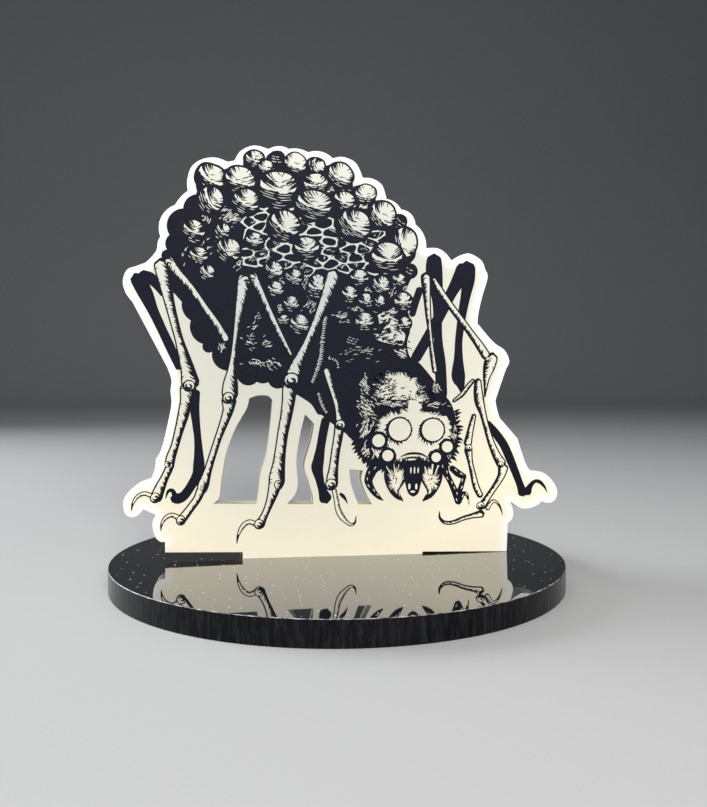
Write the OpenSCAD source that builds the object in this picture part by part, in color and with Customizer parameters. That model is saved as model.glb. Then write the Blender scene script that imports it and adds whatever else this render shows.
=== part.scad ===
// A flat acrylic spider figure that stands by its tab in a slot in a round acrylic base.
// The figure faces -Y. The origin is the centre of the base's underside.

/* [Base] */
// Diameter of the round base
base_d = 60; // [52:1:80]
// Thickness of the base sheet
base_t = 3; // [3:0.5:5]
// Gap between the tab and each long side of the slot
slot_gap = 0.06; // [0.03:0.01:0.15]
// Gap between the tab and each end of the slot
slot_end_gap = 0.25; // [0.15:0.05:0.5]

/* [Figure] */
// Thickness of the figure sheet
sheet_t = 3; // [2.5:0.1:4]
// Height of the tab under the figure's shoulders
tab_h = 3; // [2.5:0.1:3]
// How far the figure leans in its slot, in degrees, left shoulder up
lean = 1.26; // [0:0.02:1.5]

/* [Print] */
// Thickness of the printed ink film
ink_t = 0.06; // [0.04:0.01:0.12]
// Width of the thin printed line on the lit side of a leg
line_w = 0.14; // [0.1:0.02:0.2]
// How much wider the printed line is on the shaded side of a leg
shade_w = 0.26; // [0.1:0.02:0.3]

/* [Hidden] */
$fn = 64;

// Left and right ends of the tab and of the shoulders, across the figure
tab_ends = [-12.85, 11.4];
shoulders = [-22.9, 23.2];
// Height of the flat bottoms of the three windows
sill = 6.43;
// Steps that a curve takes between two of its points, and that an arc takes in all
curve_steps = 4;
arc_steps = 8;
ivory = "#fdf3dc";
black = "#17151b";
ink = "#241f2a";

// ---- curves ----

// The point a fraction f of the way from b to c on a smooth curve through a, b, c and d
function curve_point(a, b, c, d, f) =
    0.5 * (2 * b + (c - a) * f + (2 * a - 5 * b + 4 * c - d) * f * f
    + (3 * b - a - 3 * c + d) * f * f * f);

// Points of a smooth curve through p, without the last one
function curve(p, n = curve_steps) =
    [for (i = [0 : len(p) - 2]) for (k = [0 : n - 1])
        curve_point(p[max(i - 1, 0)], p[i], p[i + 1], p[min(i + 2, len(p) - 1)], k / n)];

// Centre of the circle through three points
function circle_centre(a, b, c) =
    let (p = b - a, q = c - a, d = 2 * (p[0] * q[1] - p[1] * q[0]), pp = p * p, qq = q * q)
    a + [q[1] * pp - p[1] * qq, p[0] * qq - q[0] * pp] / d;

// An angle brought to -180 to 180 degrees
function wrap(t) = t - 360 * round(t / 360);

// Points of the arc from a through b to c, without the last one
function arc(a, b, c) =
    let (m = circle_centre(a, b, c), r = norm(a - m),
         t0 = atan2(a[1] - m[1], a[0] - m[0]),
         turn = wrap(atan2(b[1] - m[1], b[0] - m[0]) - t0)
              + wrap(atan2(c[1] - m[1], c[0] - m[0]) - atan2(b[1] - m[1], b[0] - m[0])))
    [for (k = [0 : arc_steps - 1]) m + r * [cos(t0 + turn * k / arc_steps),
                                            sin(t0 + turn * k / arc_steps)]];

// One stretch of an outline: straight for 2 points, an arc for 3 and a curve for more
function stretch(p) = len(p) == 2 ? [p[0]] : len(p) == 3 ? arc(p[0], p[1], p[2]) : curve(p);

// A closed outline made of stretches, each starting where the one before it ends
function outline(runs) = [for (r = runs) each stretch(r)];

// ---- limbs ----

// Unit vector along a limb at its point i
function along(p, i) =
    let (a = p[max(i - 1, 0)], b = p[min(i + 1, len(p) - 1)], d = [b[0] - a[0], b[1] - a[1]])
    d / norm(d);

// One side of a limb: its centre line moved out by its half width on side s
function side(p, s, less) =
    [for (i = [0 : len(p) - 1]) let (t = along(p, i), w = max(p[i][2] - less, 0.02))
        [p[i][0] - s * w * t[1], p[i][1] + s * w * t[0]]];

// Half a circle round the end i of a limb, starting on side s
function cap(p, i, s, less) =
    let (t = along(p, i), w = max(p[i][2] - less, 0.02), dir = atan2(t[1], t[0]))
    [for (k = [1 : 3]) [p[i][0], p[i][1]] + w * [cos(dir + s * 90 - 45 * k * s),
                                                 sin(dir + s * 90 - 45 * k * s)]];

function backward(p) = [for (i = [len(p) - 1 : -1 : 0]) p[i]];

// A limb segment: a smooth bar along a centre line of [across, up, half width] points
module limb(p, less = 0) {
    c = concat(curve(p, 2), [p[len(p) - 1]]);
    n = len(c) - 1;
    polygon(concat(side(c, 1, less), cap(c, n, 1, less), backward(side(c, -1, less)),
        cap(backward(c), n, 1, less)));
}

// The silhouette of a leg: all its segments as one shape
module leg_shape(segments, less = 0) {
    for (s = segments) limb(s, less);
}

// The printed line of a leg that is left light inside: thin on the left and wide on the right
module leg_lines(segments) {
    difference() {
        leg_shape(segments);
        translate([-shade_w / 2, 0]) leg_shape(segments, line_w + shade_w / 2);
    }
}

// ---- placing ----

// Stands a flat shape up on the base, leaning so that its right shoulder touches the base
module stand() {
    translate([0, 0, base_t + shoulders[1] * sin(lean)]) rotate([0, lean, 0]) children();
}

// A printed shape on the figure's front face
module print() {
    stand() translate([0, -sheet_t / 2, 0]) rotate([90, 0, 0]) linear_extrude(ink_t) children();
}

// ---- the figure's outline, clockwise from its left shoulder ----

left_foot = [
    [[shoulders[0], 0], [-22.95, 1.4]],
    [[-22.95, 1.4], [-23.6, 1.42], [-24.3, 2.2], [-24.6, 3.6], [-24.45, 4.5], [-24.2, 4.95]],
    [[-24.2, 4.95], [-25.8, 5.65]],
    [[-25.8, 5.65], [-26.4, 4.9], [-27.3, 4.6], [-28.1, 5.1], [-28.35, 6.4], [-28, 7.5],
        [-26.9, 8.7], [-25.8, 9.25], [-24.95, 9.5]]];
left_leg = [
    [[-24.95, 9.5], [-24.45, 10.8], [-24.3, 12.2]],
    [[-24.3, 12.2], [-23.55, 13.7], [-22.7, 17.6], [-22.4, 19.6], [-22.55, 21.2],
        [-22.45, 22.6], [-23, 24.2]],
    [[-23, 24.2], [-27.5, 32.5]],
    [[-27.5, 32.5], [-28.4, 33.7], [-28.8, 35.2], [-28.3, 36.7], [-27.2, 37.2], [-26, 37.7]],
    [[-26, 37.7], [-25.3, 38.4], [-24.6, 39.4], [-24.45, 40.5], [-24.15, 41.15]]];
// The scallops of the egg mass, one row for each egg on its edge
egg_edge = [
    [[-24.15, 41.15], [-24, 43.8], [-22.35, 45.3]],
    [[-22.35, 45.3], [-21.65, 46.35], [-20.75, 47.2]],
    [[-20.75, 47.2], [-20.85, 48.6], [-20.3, 50.35], [-18.9, 51.4], [-17.2, 51.65], [-15.7, 51.2]],
    [[-15.7, 51.2], [-14.85, 51.4]],
    [[-14.85, 51.4], [-14, 52.75], [-12.3, 53.5], [-10.4, 53.15]],
    [[-10.4, 53.15], [-9.1, 53.6], [-7.8, 53.3]],
    [[-7.8, 53.3], [-6.5, 53.4], [-5.25, 53]],
    [[-5.25, 53], [-3.6, 53.2], [-2, 52.4]],
    [[-2, 52.4], [-0.6, 52.65], [1.1, 51.95], [2.1, 50.05]],
    [[2.1, 50.05], [3.4, 50], [4.7, 49.2], [5.35, 47.4]],
    [[5.35, 47.4], [6.5, 47], [7.35, 46.1]],
    [[7.35, 46.1], [8.6, 45.65], [9.35, 44.2]],
    [[9.35, 44.2], [10.5, 42.9], [10.9, 41.1]]];
right_knees = [
    [[10.9, 41.1], [12.4, 41.15], [13.5, 40.6], [14.4, 39.6]],
    [[14.4, 39.6], [15.7, 40.35], [17, 40.6], [18.6, 39.7], [19.1, 38.6], [19.5, 37.5],
        [18.8, 34.8], [18.35, 32.6], [18.25, 31.2]],
    [[18.25, 31.2], [20.1, 29.15], [21, 28.4], [22.2, 27.6], [22.85, 26.2], [22.4, 25],
        [21.9, 23.5], [21.05, 20.8]]];
right_foot = [
    [[21.05, 20.8], [21.3, 19.6], [21.7, 18.4]],
    [[21.7, 18.4], [24.3, 15.6]],
    [[24.3, 15.6], [25, 13.6], [25.6, 12.1], [26.2, 11.2]],
    [[26.2, 11.2], [28, 10.95], [29.4, 9.9], [30.2, 8.4], [29.9, 7.1], [28.9, 6.7], [28, 6.95]],
    [[28, 6.95], [27.2, 6.3], [25.3, 5.9], [23.55, 6.85]],
    [[23.55, 6.85], [24, 5.5], [23.85, 4.5], [23.25, 3.85]],
    [[23.25, 3.85], [shoulders[1], 0]]];
tab = [
    [[shoulders[1], 0], [tab_ends[1], 0]],
    [[tab_ends[1], 0], [tab_ends[1], -tab_h]],
    [[tab_ends[1], -tab_h], [tab_ends[0], -tab_h]],
    [[tab_ends[0], -tab_h], [tab_ends[0], 0]],
    [[tab_ends[0], 0], [shoulders[0], 0]]];

// The windows between the legs, clockwise from the left end of each sill
window_1 = [
    [[-16.8, sill], [-16.05, 7.3], [-15.75, 9.8], [-15.25, 13], [-14.3, 15.9], [-13.45, 17.6],
        [-12.65, 19.1], [-12.35, 20.4]],
    [[-12.35, 20.4], [-11.2, 20.8], [-9.9, 20.75], [-9.35, 20.2]],
    [[-9.35, 20.2], [-9.55, 17.2], [-10, 13.2], [-10.75, 10.3], [-10.9, 8.5], [-11.15, sill]],
    [[-11.15, sill], [-16.8, sill]]];
window_2 = [
    [[-7.1, sill], [-6.05, 7.75], [-5.75, 9.2], [-5.95, 12.4], [-5.5, 16], [-4.95, 18.4]],
    [[-4.95, 18.4], [-3.75, 17.2]],
    [[-3.75, 17.2], [-4.1, 15], [-4.95, 11.7], [-4.35, 9.5], [-3.75, 7.6], [-3.7, sill]],
    [[-3.7, sill], [-7.1, sill]]];
window_3 = [
    [[2.45, sill], [1.7, 8.3], [1.3, 9.6], [1.15, 11.1]],
    [[1.15, 11.1], [2.95, 11]],
    [[2.95, 11], [2.75, 9.8], [3.35, 8.1], [4.25, sill]],
    [[4.25, sill], [2.45, sill]]];

// ---- the drawn spider ----

// Near legs, left to right: each segment is a centre line of [across, up, half width]
near_legs = [
    [[[-23.2, 38, 0.7], [-22.1, 36.7, 0.55], [-20.2, 34.6, 0.45], [-16.8, 30, 0.5], [-15.6, 28.1, 0.5]],
     [[-23.9, 37.4, 1.05], [-22.95, 33, 0.7], [-21.6, 28, 0.58], [-20.4, 24, 0.95], [-20.05, 22.4, 1.2]],
     [[-20.3, 21.4, 1.1], [-20.9, 18, 0.75], [-21.9, 14, 0.55], [-22.5, 11.4, 0.6]],
     [[-22.6, 11, 0.55], [-23.15, 9.8, 0.55], [-24.15, 7.3, 0.8]],
     [[-24.6, 7.35, 0.3], [-25.6, 7.75, 0.28], [-26.5, 7.4, 0.25], [-27.1, 6.5, 0.18], [-27.3, 5.5, 0.06]]],
    [[[-12.2, 36.3, 0.6], [-10.5, 32.9, 0.42], [-8.3, 28.5, 0.4], [-7, 26.3, 0.3]],
     [[-13.1, 35.9, 1], [-13.8, 32, 0.55], [-14.5, 26, 0.38], [-14.85, 22.3, 1], [-14.9, 21, 1.1]],
     [[-15, 20, 1], [-15.6, 17.2, 0.6], [-17, 12.9, 0.5], [-18.1, 9.1, 0.7]],
     [[-18.5, 8.1, 0.65], [-19.8, 5.8, 0.55], [-20.95, 4.25, 0.6]],
     [[-21.3, 4.6, 0.35], [-22.1, 4.95, 0.3], [-22.9, 4.6, 0.27], [-23.4, 3.8, 0.18], [-23.5, 2.9, 0.06]]],
    [[[-1.5, 36.9, 0.95], [-2.6, 33.5, 0.7], [-4.1, 29.7, 0.5], [-5.6, 26.2, 0.65], [-6.75, 23, 1.15]],
     [[-7.1, 21.9, 1], [-7.5, 18, 0.8], [-8.1, 14, 0.75], [-8.55, 9.5, 1.1]],
     [[-8.7, 9.1, 0.95], [-9.5, 6.4, 0.55], [-10.65, 3.8, 0.7]],
     [[-11.2, 3.8, 0.35], [-12.1, 4.05, 0.32], [-12.9, 3.5, 0.32], [-13.45, 2.4, 0.2], [-13.65, 1.2, 0.06]]],
    [[[-2.15, 24.35, 0.6], [-1.2, 21.2, 0.45], [-0.45, 18.3, 0.5], [-0.25, 17.2, 0.7]],
     [[-0.35, 16.9, 0.7], [-0.8, 13.5, 0.62], [-1.2, 9.2, 0.85]],
     [[-0.85, 8.3, 0.35], [-0.3, 5.8, 0.4], [0.8, 4.15, 0.3], [1.5, 3.7, 0.2], [2.05, 4, 0.12],
        [2.15, 4.8, 0.06]]],
    [[[10.9, 37.2, 0.7], [11.2, 34, 0.5], [11.6, 30.5, 0.35], [12.5, 24.6, 0.4]],
     [[12, 36.9, 0.4], [12.9, 35.5, 0.5], [15.6, 32, 0.5], [18.6, 28.2, 0.6], [19.5, 26.9, 0.65]],
     [[20.3, 26.5, 0.9], [19.7, 24, 0.55], [19.5, 21.3, 0.15]]],
    [[[15.2, 20.6, 0.25], [16.3, 21.5, 0.35], [17.2, 22.7, 0.35], [17.8, 23.4, 0.3]],
     [[18.5, 23.3, 0.5], [18.8, 20.5, 0.7], [19.8, 17.3, 0.45], [21.3, 13.4, 0.6], [22.05, 12.2, 0.7]],
     [[22.35, 11.5, 0.75], [21.3, 9, 0.45], [19.5, 6.3, 0.6]],
     [[19.4, 5.2, 0.55], [17, 4.6, 0.33], [15, 3.95, 0.28], [14.2, 4.1, 0.24], [13.65, 4.7, 0.17],
        [13.6, 5.5, 0.06]]],
    [[[18.05, 18.4, 0.35], [17.5, 16, 0.5], [17.4, 14.3, 0.6]],
     [[17.5, 13.6, 0.5], [17.7, 12.4, 0.4], [18.6, 9, 0.48], [19.1, 8, 0.4]],
     [[20.5, 6.1, 0.3], [20.8, 6.7, 0.3], [21.3, 6.95, 0.2], [22, 6.3, 0.15], [22.45, 5.1, 0.05]]]];

// Far legs, solid black, left to right
far_legs = [
    [[[-26.7, 35.5, 1.1], [-24.9, 31.5, 0.65], [-23.7, 29, 0.6], [-22.3, 26, 0.6], [-21.5, 24, 0.4]],
     [[-25.6, 35.7, 0.8], [-24.6, 34.9, 0.6], [-23.8, 33.9, 0.4]],
     [[-19.2, 20.6, 0.45], [-19.35, 19, 0.55], [-18.95, 15, 0.45], [-18.8, 11.6, 0.75],
        [-19.2, 9.9, 0.65], [-20.6, 7.6, 0.6], [-21.6, 7.05, 0.65]],
     [[-21.8, 7.6, 0.3], [-22.2, 8.2, 0.25], [-22.7, 8, 0.2], [-22.95, 7.1, 0.08]]],
    [[[-2.3, 17.3, 0.55], [-2.8, 14, 0.6], [-3.15, 11.5, 0.8], [-2.5, 8.8, 0.5], [-2.2, 7.1, 0.6]]],
    [[[12, 39.4, 1.1], [12.05, 38, 1.15], [12.35, 36, 0.95], [12.6, 33.5, 0.65], [12.7, 31, 0.6],
        [12.85, 28.5, 0.6], [13.3, 25, 0.75], [13.5, 21.5, 0.75]]],
    [[[16.5, 38.6, 1.2], [16.7, 37, 1], [16.5, 35, 0.7], [16.1, 32.6, 0.6], [15.7, 29, 0.5],
        [15.7, 26.5, 0.6], [15.75, 24, 0.9], [16.1, 22.8, 0.5]],
     [[16.1, 38.3, 1.1], [14.4, 35, 0.75], [13.2, 32.6, 0.75], [12, 30.2, 0.7], [9.9, 26.4, 0.7]],
     [[10.1, 35.4, 0.5], [9.6, 33.8, 0.5], [9.3, 32.7, 0.45]]],
    [[[20.3, 17.6, 0.3], [21.2, 16.3, 0.55], [22.3, 14.8, 0.6], [24, 11.2, 0.55], [25.2, 8.4, 0.65]],
     [[26, 8.2, 0.5], [26.3, 9.1, 0.35], [26.9, 9.75, 0.25], [27.6, 9.7, 0.25], [28.3, 9.1, 0.17],
        [28.7, 8.3, 0.06]]]];
// The near legs that pass in front of each far leg
in_front = [[0, 1], [2, 3], [4], [4, 5], [5]];

// The edge of the egg mass: its scalloped top, its right side, and its lobed underside
egg_mass_edge = [
    [[-23.1, 39.7], [-23.45, 40.6], [-23, 41.4]],
    [[-23, 41.4], [-23.1, 43.7], [-21.3, 44.9]],
    [[-21.3, 44.9], [-20.7, 46.3], [-19.5, 46.8]],
    [[-19.5, 46.8], [-19.75, 48.6], [-18.7, 50.5], [-17.4, 50.8], [-16.1, 50.2]],
    [[-16.1, 50.2], [-14.9, 50.6], [-13.7, 50.7]],
    [[-13.7, 50.7], [-13.6, 52], [-12.3, 52.6], [-10.8, 51.9]],
    [[-10.8, 51.9], [-9.3, 52.85], [-8.2, 52.1]],
    [[-8.2, 52.1], [-6.9, 52.6], [-5.6, 51.7]],
    [[-5.6, 51.7], [-4.3, 52.35], [-3.1, 51.3]],
    [[-3.1, 51.3], [-1.1, 51.75], [0.5, 50.8], [0.8, 48.8]],
    [[0.8, 48.8], [2.5, 49.2], [3.7, 48.3], [3.9, 46.8]],
    [[3.9, 46.8], [5.4, 46.4], [6.4, 45.2]],
    [[6.4, 45.2], [7.2, 45.4], [7.8, 44.2]],
    [[7.8, 44.2], [9.1, 43], [9.5, 40.2], [8.8, 39]],
    [[8.8, 39], [9.35, 38], [8.9, 36.8]],
    [[8.9, 36.8], [8.45, 35.2], [8.9, 33.8]],
    [[8.9, 33.8], [8.6, 32.6], [9, 31.2], [8.9, 29.5]],
    [[8.9, 29.5], [3, 29.6], [-2, 30.6], [-6.5, 27]],
    [[-6.5, 27], [-8.1, 21.9]],
    [[-8.1, 21.9], [-9, 21.8], [-9.9, 22.6]],
    [[-9.9, 22.6], [-12.4, 22.1], [-13.9, 22.9]],
    [[-13.9, 22.9], [-15.5, 24]],
    [[-15.5, 24], [-16.8, 24.7], [-17.3, 26.4]],
    [[-17.3, 26.4], [-18.1, 26.35], [-18.5, 27.4]],
    [[-18.5, 27.4], [-19.9, 28.5], [-20.1, 30.4]],
    [[-20.1, 30.4], [-21, 31.3], [-21.3, 32.8]],
    [[-21.3, 32.8], [-22.9, 36.5]],
    [[-22.9, 36.5], [-23.1, 39.7]]];

thorax_edge = [
    [[-2, 30.3], [3, 29.3], [8.7, 29.2]],
    [[8.7, 29.2], [8.5, 27.8], [9.4, 25.9]],
    [[9.4, 25.9], [7.5, 25.6], [4, 25.1], [2.4, 23.5]],
    [[2.4, 23.5], [1.6, 20], [1.5, 15.4]],
    [[1.5, 15.4], [0.6, 15.9], [-3.3, 18.5]],
    [[-3.3, 18.5], [-4.3, 19.9], [-5.8, 20.7]],
    [[-5.8, 20.7], [-5.4, 25]],
    [[-5.4, 25], [-3.6, 28.8], [-2, 30.3]]];

// The eggs that show light in the mass: [across, up, radius]
eggs = [
    [-17.9, 49, 1.3], [-14.1, 49, 1.5], [-12.3, 51.6, 0.7], [-6.9, 51.4, 1], [-1, 50.2, 1.3],
    [-9.1, 48.15, 2.1], [-4.15, 49.3, 1.1], [-17.9, 46.1, 1.4], [-13.3, 46.1, 1.5],
    [-4.4, 46, 1.8], [-0.3, 46.9, 1], [2.5, 47.95, 1], [4.8, 44.9, 1.4], [7.9, 41.9, 1.1],
    [1, 43.8, 1.8], [-8.3, 43.2, 1.7], [-19.95, 42, 1.2], [-16.3, 42, 0.7], [-15.6, 39.6, 1.2],
    [-12.05, 41.1, 0.9], [-5.2, 40.3, 1.3], [-19.3, 38.8, 0.8], [-18.2, 36.6, 0.7],
    [5.8, 39.6, 1.7], [-9.6, 37.6, 0.9], [-6.9, 36.5, 0.8], [-9.1, 34.9, 0.8],
    [-7.1, 33.2, 0.8], [1.9, 36.9, 0.9], [4.8, 36, 1], [0.7, 34.5, 0.8], [2.8, 33.7, 0.7],
    [4.6, 33.9, 0.5], [7.8, 33.8, 0.8], [-6, 30.4, 0.9], [2.8, 31, 0.8], [8, 30.9, 0.6]];

eyes = [[7.85, 16.6, 1.5], [12.4, 16.6, 1.5], [5, 15.05, 0.85], [14.45, 14.35, 0.75],
    [6.3, 13.05, 0.75], [12.95, 12.9, 0.65]];

// The fur that frames the head, and the light dome inside it
head_edge = [
    [[2.4, 23.5], [5.2, 24.9], [8, 24.5], [11.6, 23.2]],
    [[11.6, 23.2], [13.2, 21.6], [14.3, 20.4], [15.2, 18.8]],
    [[15.2, 18.8], [16.2, 16.4], [16, 13.4], [14.6, 12.2]],
    [[14.6, 12.2], [9.6, 13.4], [4.2, 12.2]],
    [[4.2, 12.2], [1.7, 12.9], [1.9, 15.2]],
    [[1.9, 15.2], [1.8, 19.6], [2.4, 23.5]]];
dome_edge = [
    [[3.4, 22.8], [6, 24], [9, 23.6], [12, 21.6]],
    [[12, 21.6], [11.2, 20.6], [9.4, 19.4]],
    [[9.4, 19.4], [6.4, 20.6], [4, 20.2]],
    [[4, 20.2], [3, 21.6], [3.4, 22.8]]];

// Feelers and fangs: solid black limbs
jaws = [
    [[[7.7, 11, 1.2], [7.4, 9.6, 1.25], [7.5, 8.3, 0.6], [8.4, 7.1, 0.1]],
     [[12.6, 11, 1.2], [12.9, 9.6, 1.25], [12.6, 8.2, 0.6], [11.5, 6.8, 0.1]]],
    [[[4.6, 11.2, 0.6], [4.2, 9.9, 0.5], [4.6, 8.5, 0.35], [5.7, 7.2, 0.1]],
     [[14.8, 11.3, 0.5], [15.3, 9.6, 0.35], [16.1, 7.1, 0.55]],
     [[16.3, 7.4, 0.3], [16.9, 8.1, 0.25], [17.4, 7.7, 0.2], [17.7, 6.6, 0.06]]]];
mouth = [9.8, 9.2, 1.2];

// ---- the parts ----

module base_disc() {
    slot = [tab_ends[1] - tab_ends[0] + 2 * slot_end_gap, sheet_t + 2 * slot_gap];
    color(black) difference() {
        cylinder(d = base_d, h = base_t);
        translate([tab_ends[0] - slot_end_gap, -slot[1] / 2, -1])
            cube([slot[0], slot[1], base_t + 2]);
    }
}

module figure_plate() {
    edge = outline(concat(left_foot, left_leg, egg_edge, right_knees, right_foot, tab));
    color(ivory) stand() translate([0, sheet_t / 2, 0]) rotate([90, 0, 0])
        linear_extrude(sheet_t) difference() {
            polygon(edge);
            for (w = [window_1, window_2, window_3]) polygon(outline(w));
        }
}

module egg_mass_print() {
    color(ink) print() difference() {
        polygon(outline(egg_mass_edge));
        for (e = eggs) translate([e[0], e[1]]) circle(e[2]);
        for (i = [0, 1, 2]) leg_shape(near_legs[i]);
    }
}

module thorax_print() {
    color(ink) print() difference() {
        polygon(outline(thorax_edge));
        for (i = [2, 3]) leg_shape(near_legs[i]);
        leg_shape(far_legs[1]);
    }
}

module head_print() {
    color(ink) print() difference() {
        polygon(outline(head_edge));
        polygon(outline(dome_edge));
        for (e = eyes) translate([e[0], e[1]]) circle(e[2]);
    }
}

// Each eye is a printed ring round a light middle
module eyes_print() {
    color(ink) print() for (e = eyes) translate([e[0], e[1]]) difference() {
        circle(e[2]);
        circle(e[2] - line_w);
    }
}

module jaw_print() {
    color(ink) print() {
        for (j = jaws) leg_shape(j);
        translate([mouth[0], mouth[1]]) circle(mouth[2]);
    }
}

module near_leg_print(i) {
    color(ink) print() leg_lines(near_legs[i]);
}

// A far leg is hidden by the near legs, the head and the far leg that pass in front of it
module far_leg_print(i) {
    color(ink) print() difference() {
        leg_shape(far_legs[i]);
        for (j = in_front[i]) leg_shape(near_legs[j]);
        if (i == 2) polygon(outline(head_edge));
        if (i == 3) leg_shape(far_legs[2]);
    }
}

base_disc();
figure_plate();
egg_mass_print();
thorax_print();
head_print();
eyes_print();
jaw_print();
near_leg_print(0);  // near_leg_1_print
near_leg_print(1);  // near_leg_2_print
near_leg_print(2);  // near_leg_3_print
near_leg_print(3);  // near_leg_4_print
near_leg_print(4);  // near_leg_5_print
near_leg_print(5);  // near_leg_6_print
near_leg_print(6);  // near_leg_7_print
far_leg_print(0);  // far_leg_1_print
far_leg_print(1);  // far_leg_2_print
far_leg_print(2);  // far_leg_3_print
far_leg_print(3);  // far_leg_4_print
far_leg_print(4);  // far_leg_5_print
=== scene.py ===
import math
import random

import bpy
import numpy as np
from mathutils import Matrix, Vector
from mathutils.geometry import delaunay_2d_cdt


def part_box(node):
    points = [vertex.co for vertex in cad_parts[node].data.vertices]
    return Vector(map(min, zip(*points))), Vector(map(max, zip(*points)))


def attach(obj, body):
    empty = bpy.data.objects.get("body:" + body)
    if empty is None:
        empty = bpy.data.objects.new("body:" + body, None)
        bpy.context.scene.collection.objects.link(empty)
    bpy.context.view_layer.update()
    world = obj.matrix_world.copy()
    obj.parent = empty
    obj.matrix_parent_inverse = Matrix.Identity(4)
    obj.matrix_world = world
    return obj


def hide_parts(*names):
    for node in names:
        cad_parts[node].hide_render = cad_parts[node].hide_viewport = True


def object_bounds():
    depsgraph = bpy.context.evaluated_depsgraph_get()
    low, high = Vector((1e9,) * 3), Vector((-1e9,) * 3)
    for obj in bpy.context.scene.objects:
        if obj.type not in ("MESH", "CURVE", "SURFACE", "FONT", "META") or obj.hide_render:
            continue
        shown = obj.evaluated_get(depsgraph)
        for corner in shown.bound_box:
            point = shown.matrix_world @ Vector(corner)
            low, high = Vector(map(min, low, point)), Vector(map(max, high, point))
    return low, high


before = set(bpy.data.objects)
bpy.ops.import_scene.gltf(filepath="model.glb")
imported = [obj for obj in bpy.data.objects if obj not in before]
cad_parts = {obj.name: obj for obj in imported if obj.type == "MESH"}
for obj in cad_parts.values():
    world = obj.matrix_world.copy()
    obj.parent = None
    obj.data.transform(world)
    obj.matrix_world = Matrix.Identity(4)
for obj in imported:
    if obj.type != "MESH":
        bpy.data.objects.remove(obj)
cad_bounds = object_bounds()

MM = 0.001

# ---------------------------------------------------------------- where the figure stands

# Sizes on the figure's face are in millimetres: u across, v up from its shoulders.
LEAN = math.radians(1.26)
SHOULDERS = (-22.9, 23.2)
TAB_ENDS = (-12.85, 11.4)
TAB_H = 3.0
SILL = 6.43
BASE_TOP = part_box("base_disc")[1][2] / MM
BASE_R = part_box("base_disc")[1][1] / MM
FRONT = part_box("figure_plate")[0][1] / MM
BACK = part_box("figure_plate")[1][1] / MM


def on_face(u, v, out=0.0):
    """The point at u, v on the figure, out millimetres in front of its front face, in metres."""
    x = u * math.cos(LEAN) + v * math.sin(LEAN)
    z = BASE_TOP + SHOULDERS[1] * math.sin(LEAN) - u * math.sin(LEAN) + v * math.cos(LEAN)
    return Vector((x, FRONT - out, z)) * MM


# ---------------------------------------------------------------- curves

def way_out(degrees):
    """The direction at an angle."""
    turn = math.radians(degrees)
    return np.array([math.cos(turn), math.sin(turn)])


def curve(points, step=0.25):
    """A smooth curve through points of any dimension, with a point about every step."""
    p = [np.array(q, float) for q in points]
    out = []
    for i in range(len(p) - 1):
        a, b, c, d = p[max(i - 1, 0)], p[i], p[i + 1], p[min(i + 2, len(p) - 1)]
        n = max(1, round(np.linalg.norm((c - b)[:2]) / step))
        for k in range(n):
            f = k / n
            out.append(0.5 * (2 * b + (c - a) * f + (2 * a - 5 * b + 4 * c - d) * f * f
                              + (3 * b - a - 3 * c + d) * f ** 3))
    out.append(p[-1])
    return out


def arc(a, b, c, step=0.25):
    """The arc from a through b to c."""
    a, b, c = (np.array(q, float) for q in (a, b, c))
    p, q = b - a, c - a
    d = 2 * (p[0] * q[1] - p[1] * q[0])
    m = a + np.array([q[1] * p.dot(p) - p[1] * q.dot(q), p[0] * q.dot(q) - q[0] * p.dot(p)]) / d
    angle = [math.atan2(*(s - m)[::-1]) for s in (a, b, c)]
    turn = sum((angle[i + 1] - angle[i] + math.pi) % (2 * math.pi) - math.pi for i in (0, 1))
    r = np.linalg.norm(a - m)
    n = max(2, round(abs(turn) * r / step))
    return [m + r * np.array([math.cos(angle[0] + turn * k / n), math.sin(angle[0] + turn * k / n)])
            for k in range(n + 1)]


def outline(runs, step=0.25, start=None):
    """A closed outline. Each run goes on from the last one's end: straight to 1 point, in an arc
    through the first of 2 points, or in a curve through more."""
    out = []
    last = start or runs[-1][-1]
    for run in runs:
        points = [last] + run
        part = arc(*points, step=step) if len(run) == 2 else curve(points, step)
        out += [tuple(q[:2]) for q in part[:-1]]
        last = run[-1]
    return out


def area(points):
    return 0.5 * sum(a[0] * b[1] - b[0] * a[1] for a, b in zip(points, points[1:] + points[:1]))


def anticlockwise(points):
    return points if area(points) > 0 else points[::-1]


# ---------------------------------------------------------------- outlines of the figure

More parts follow.
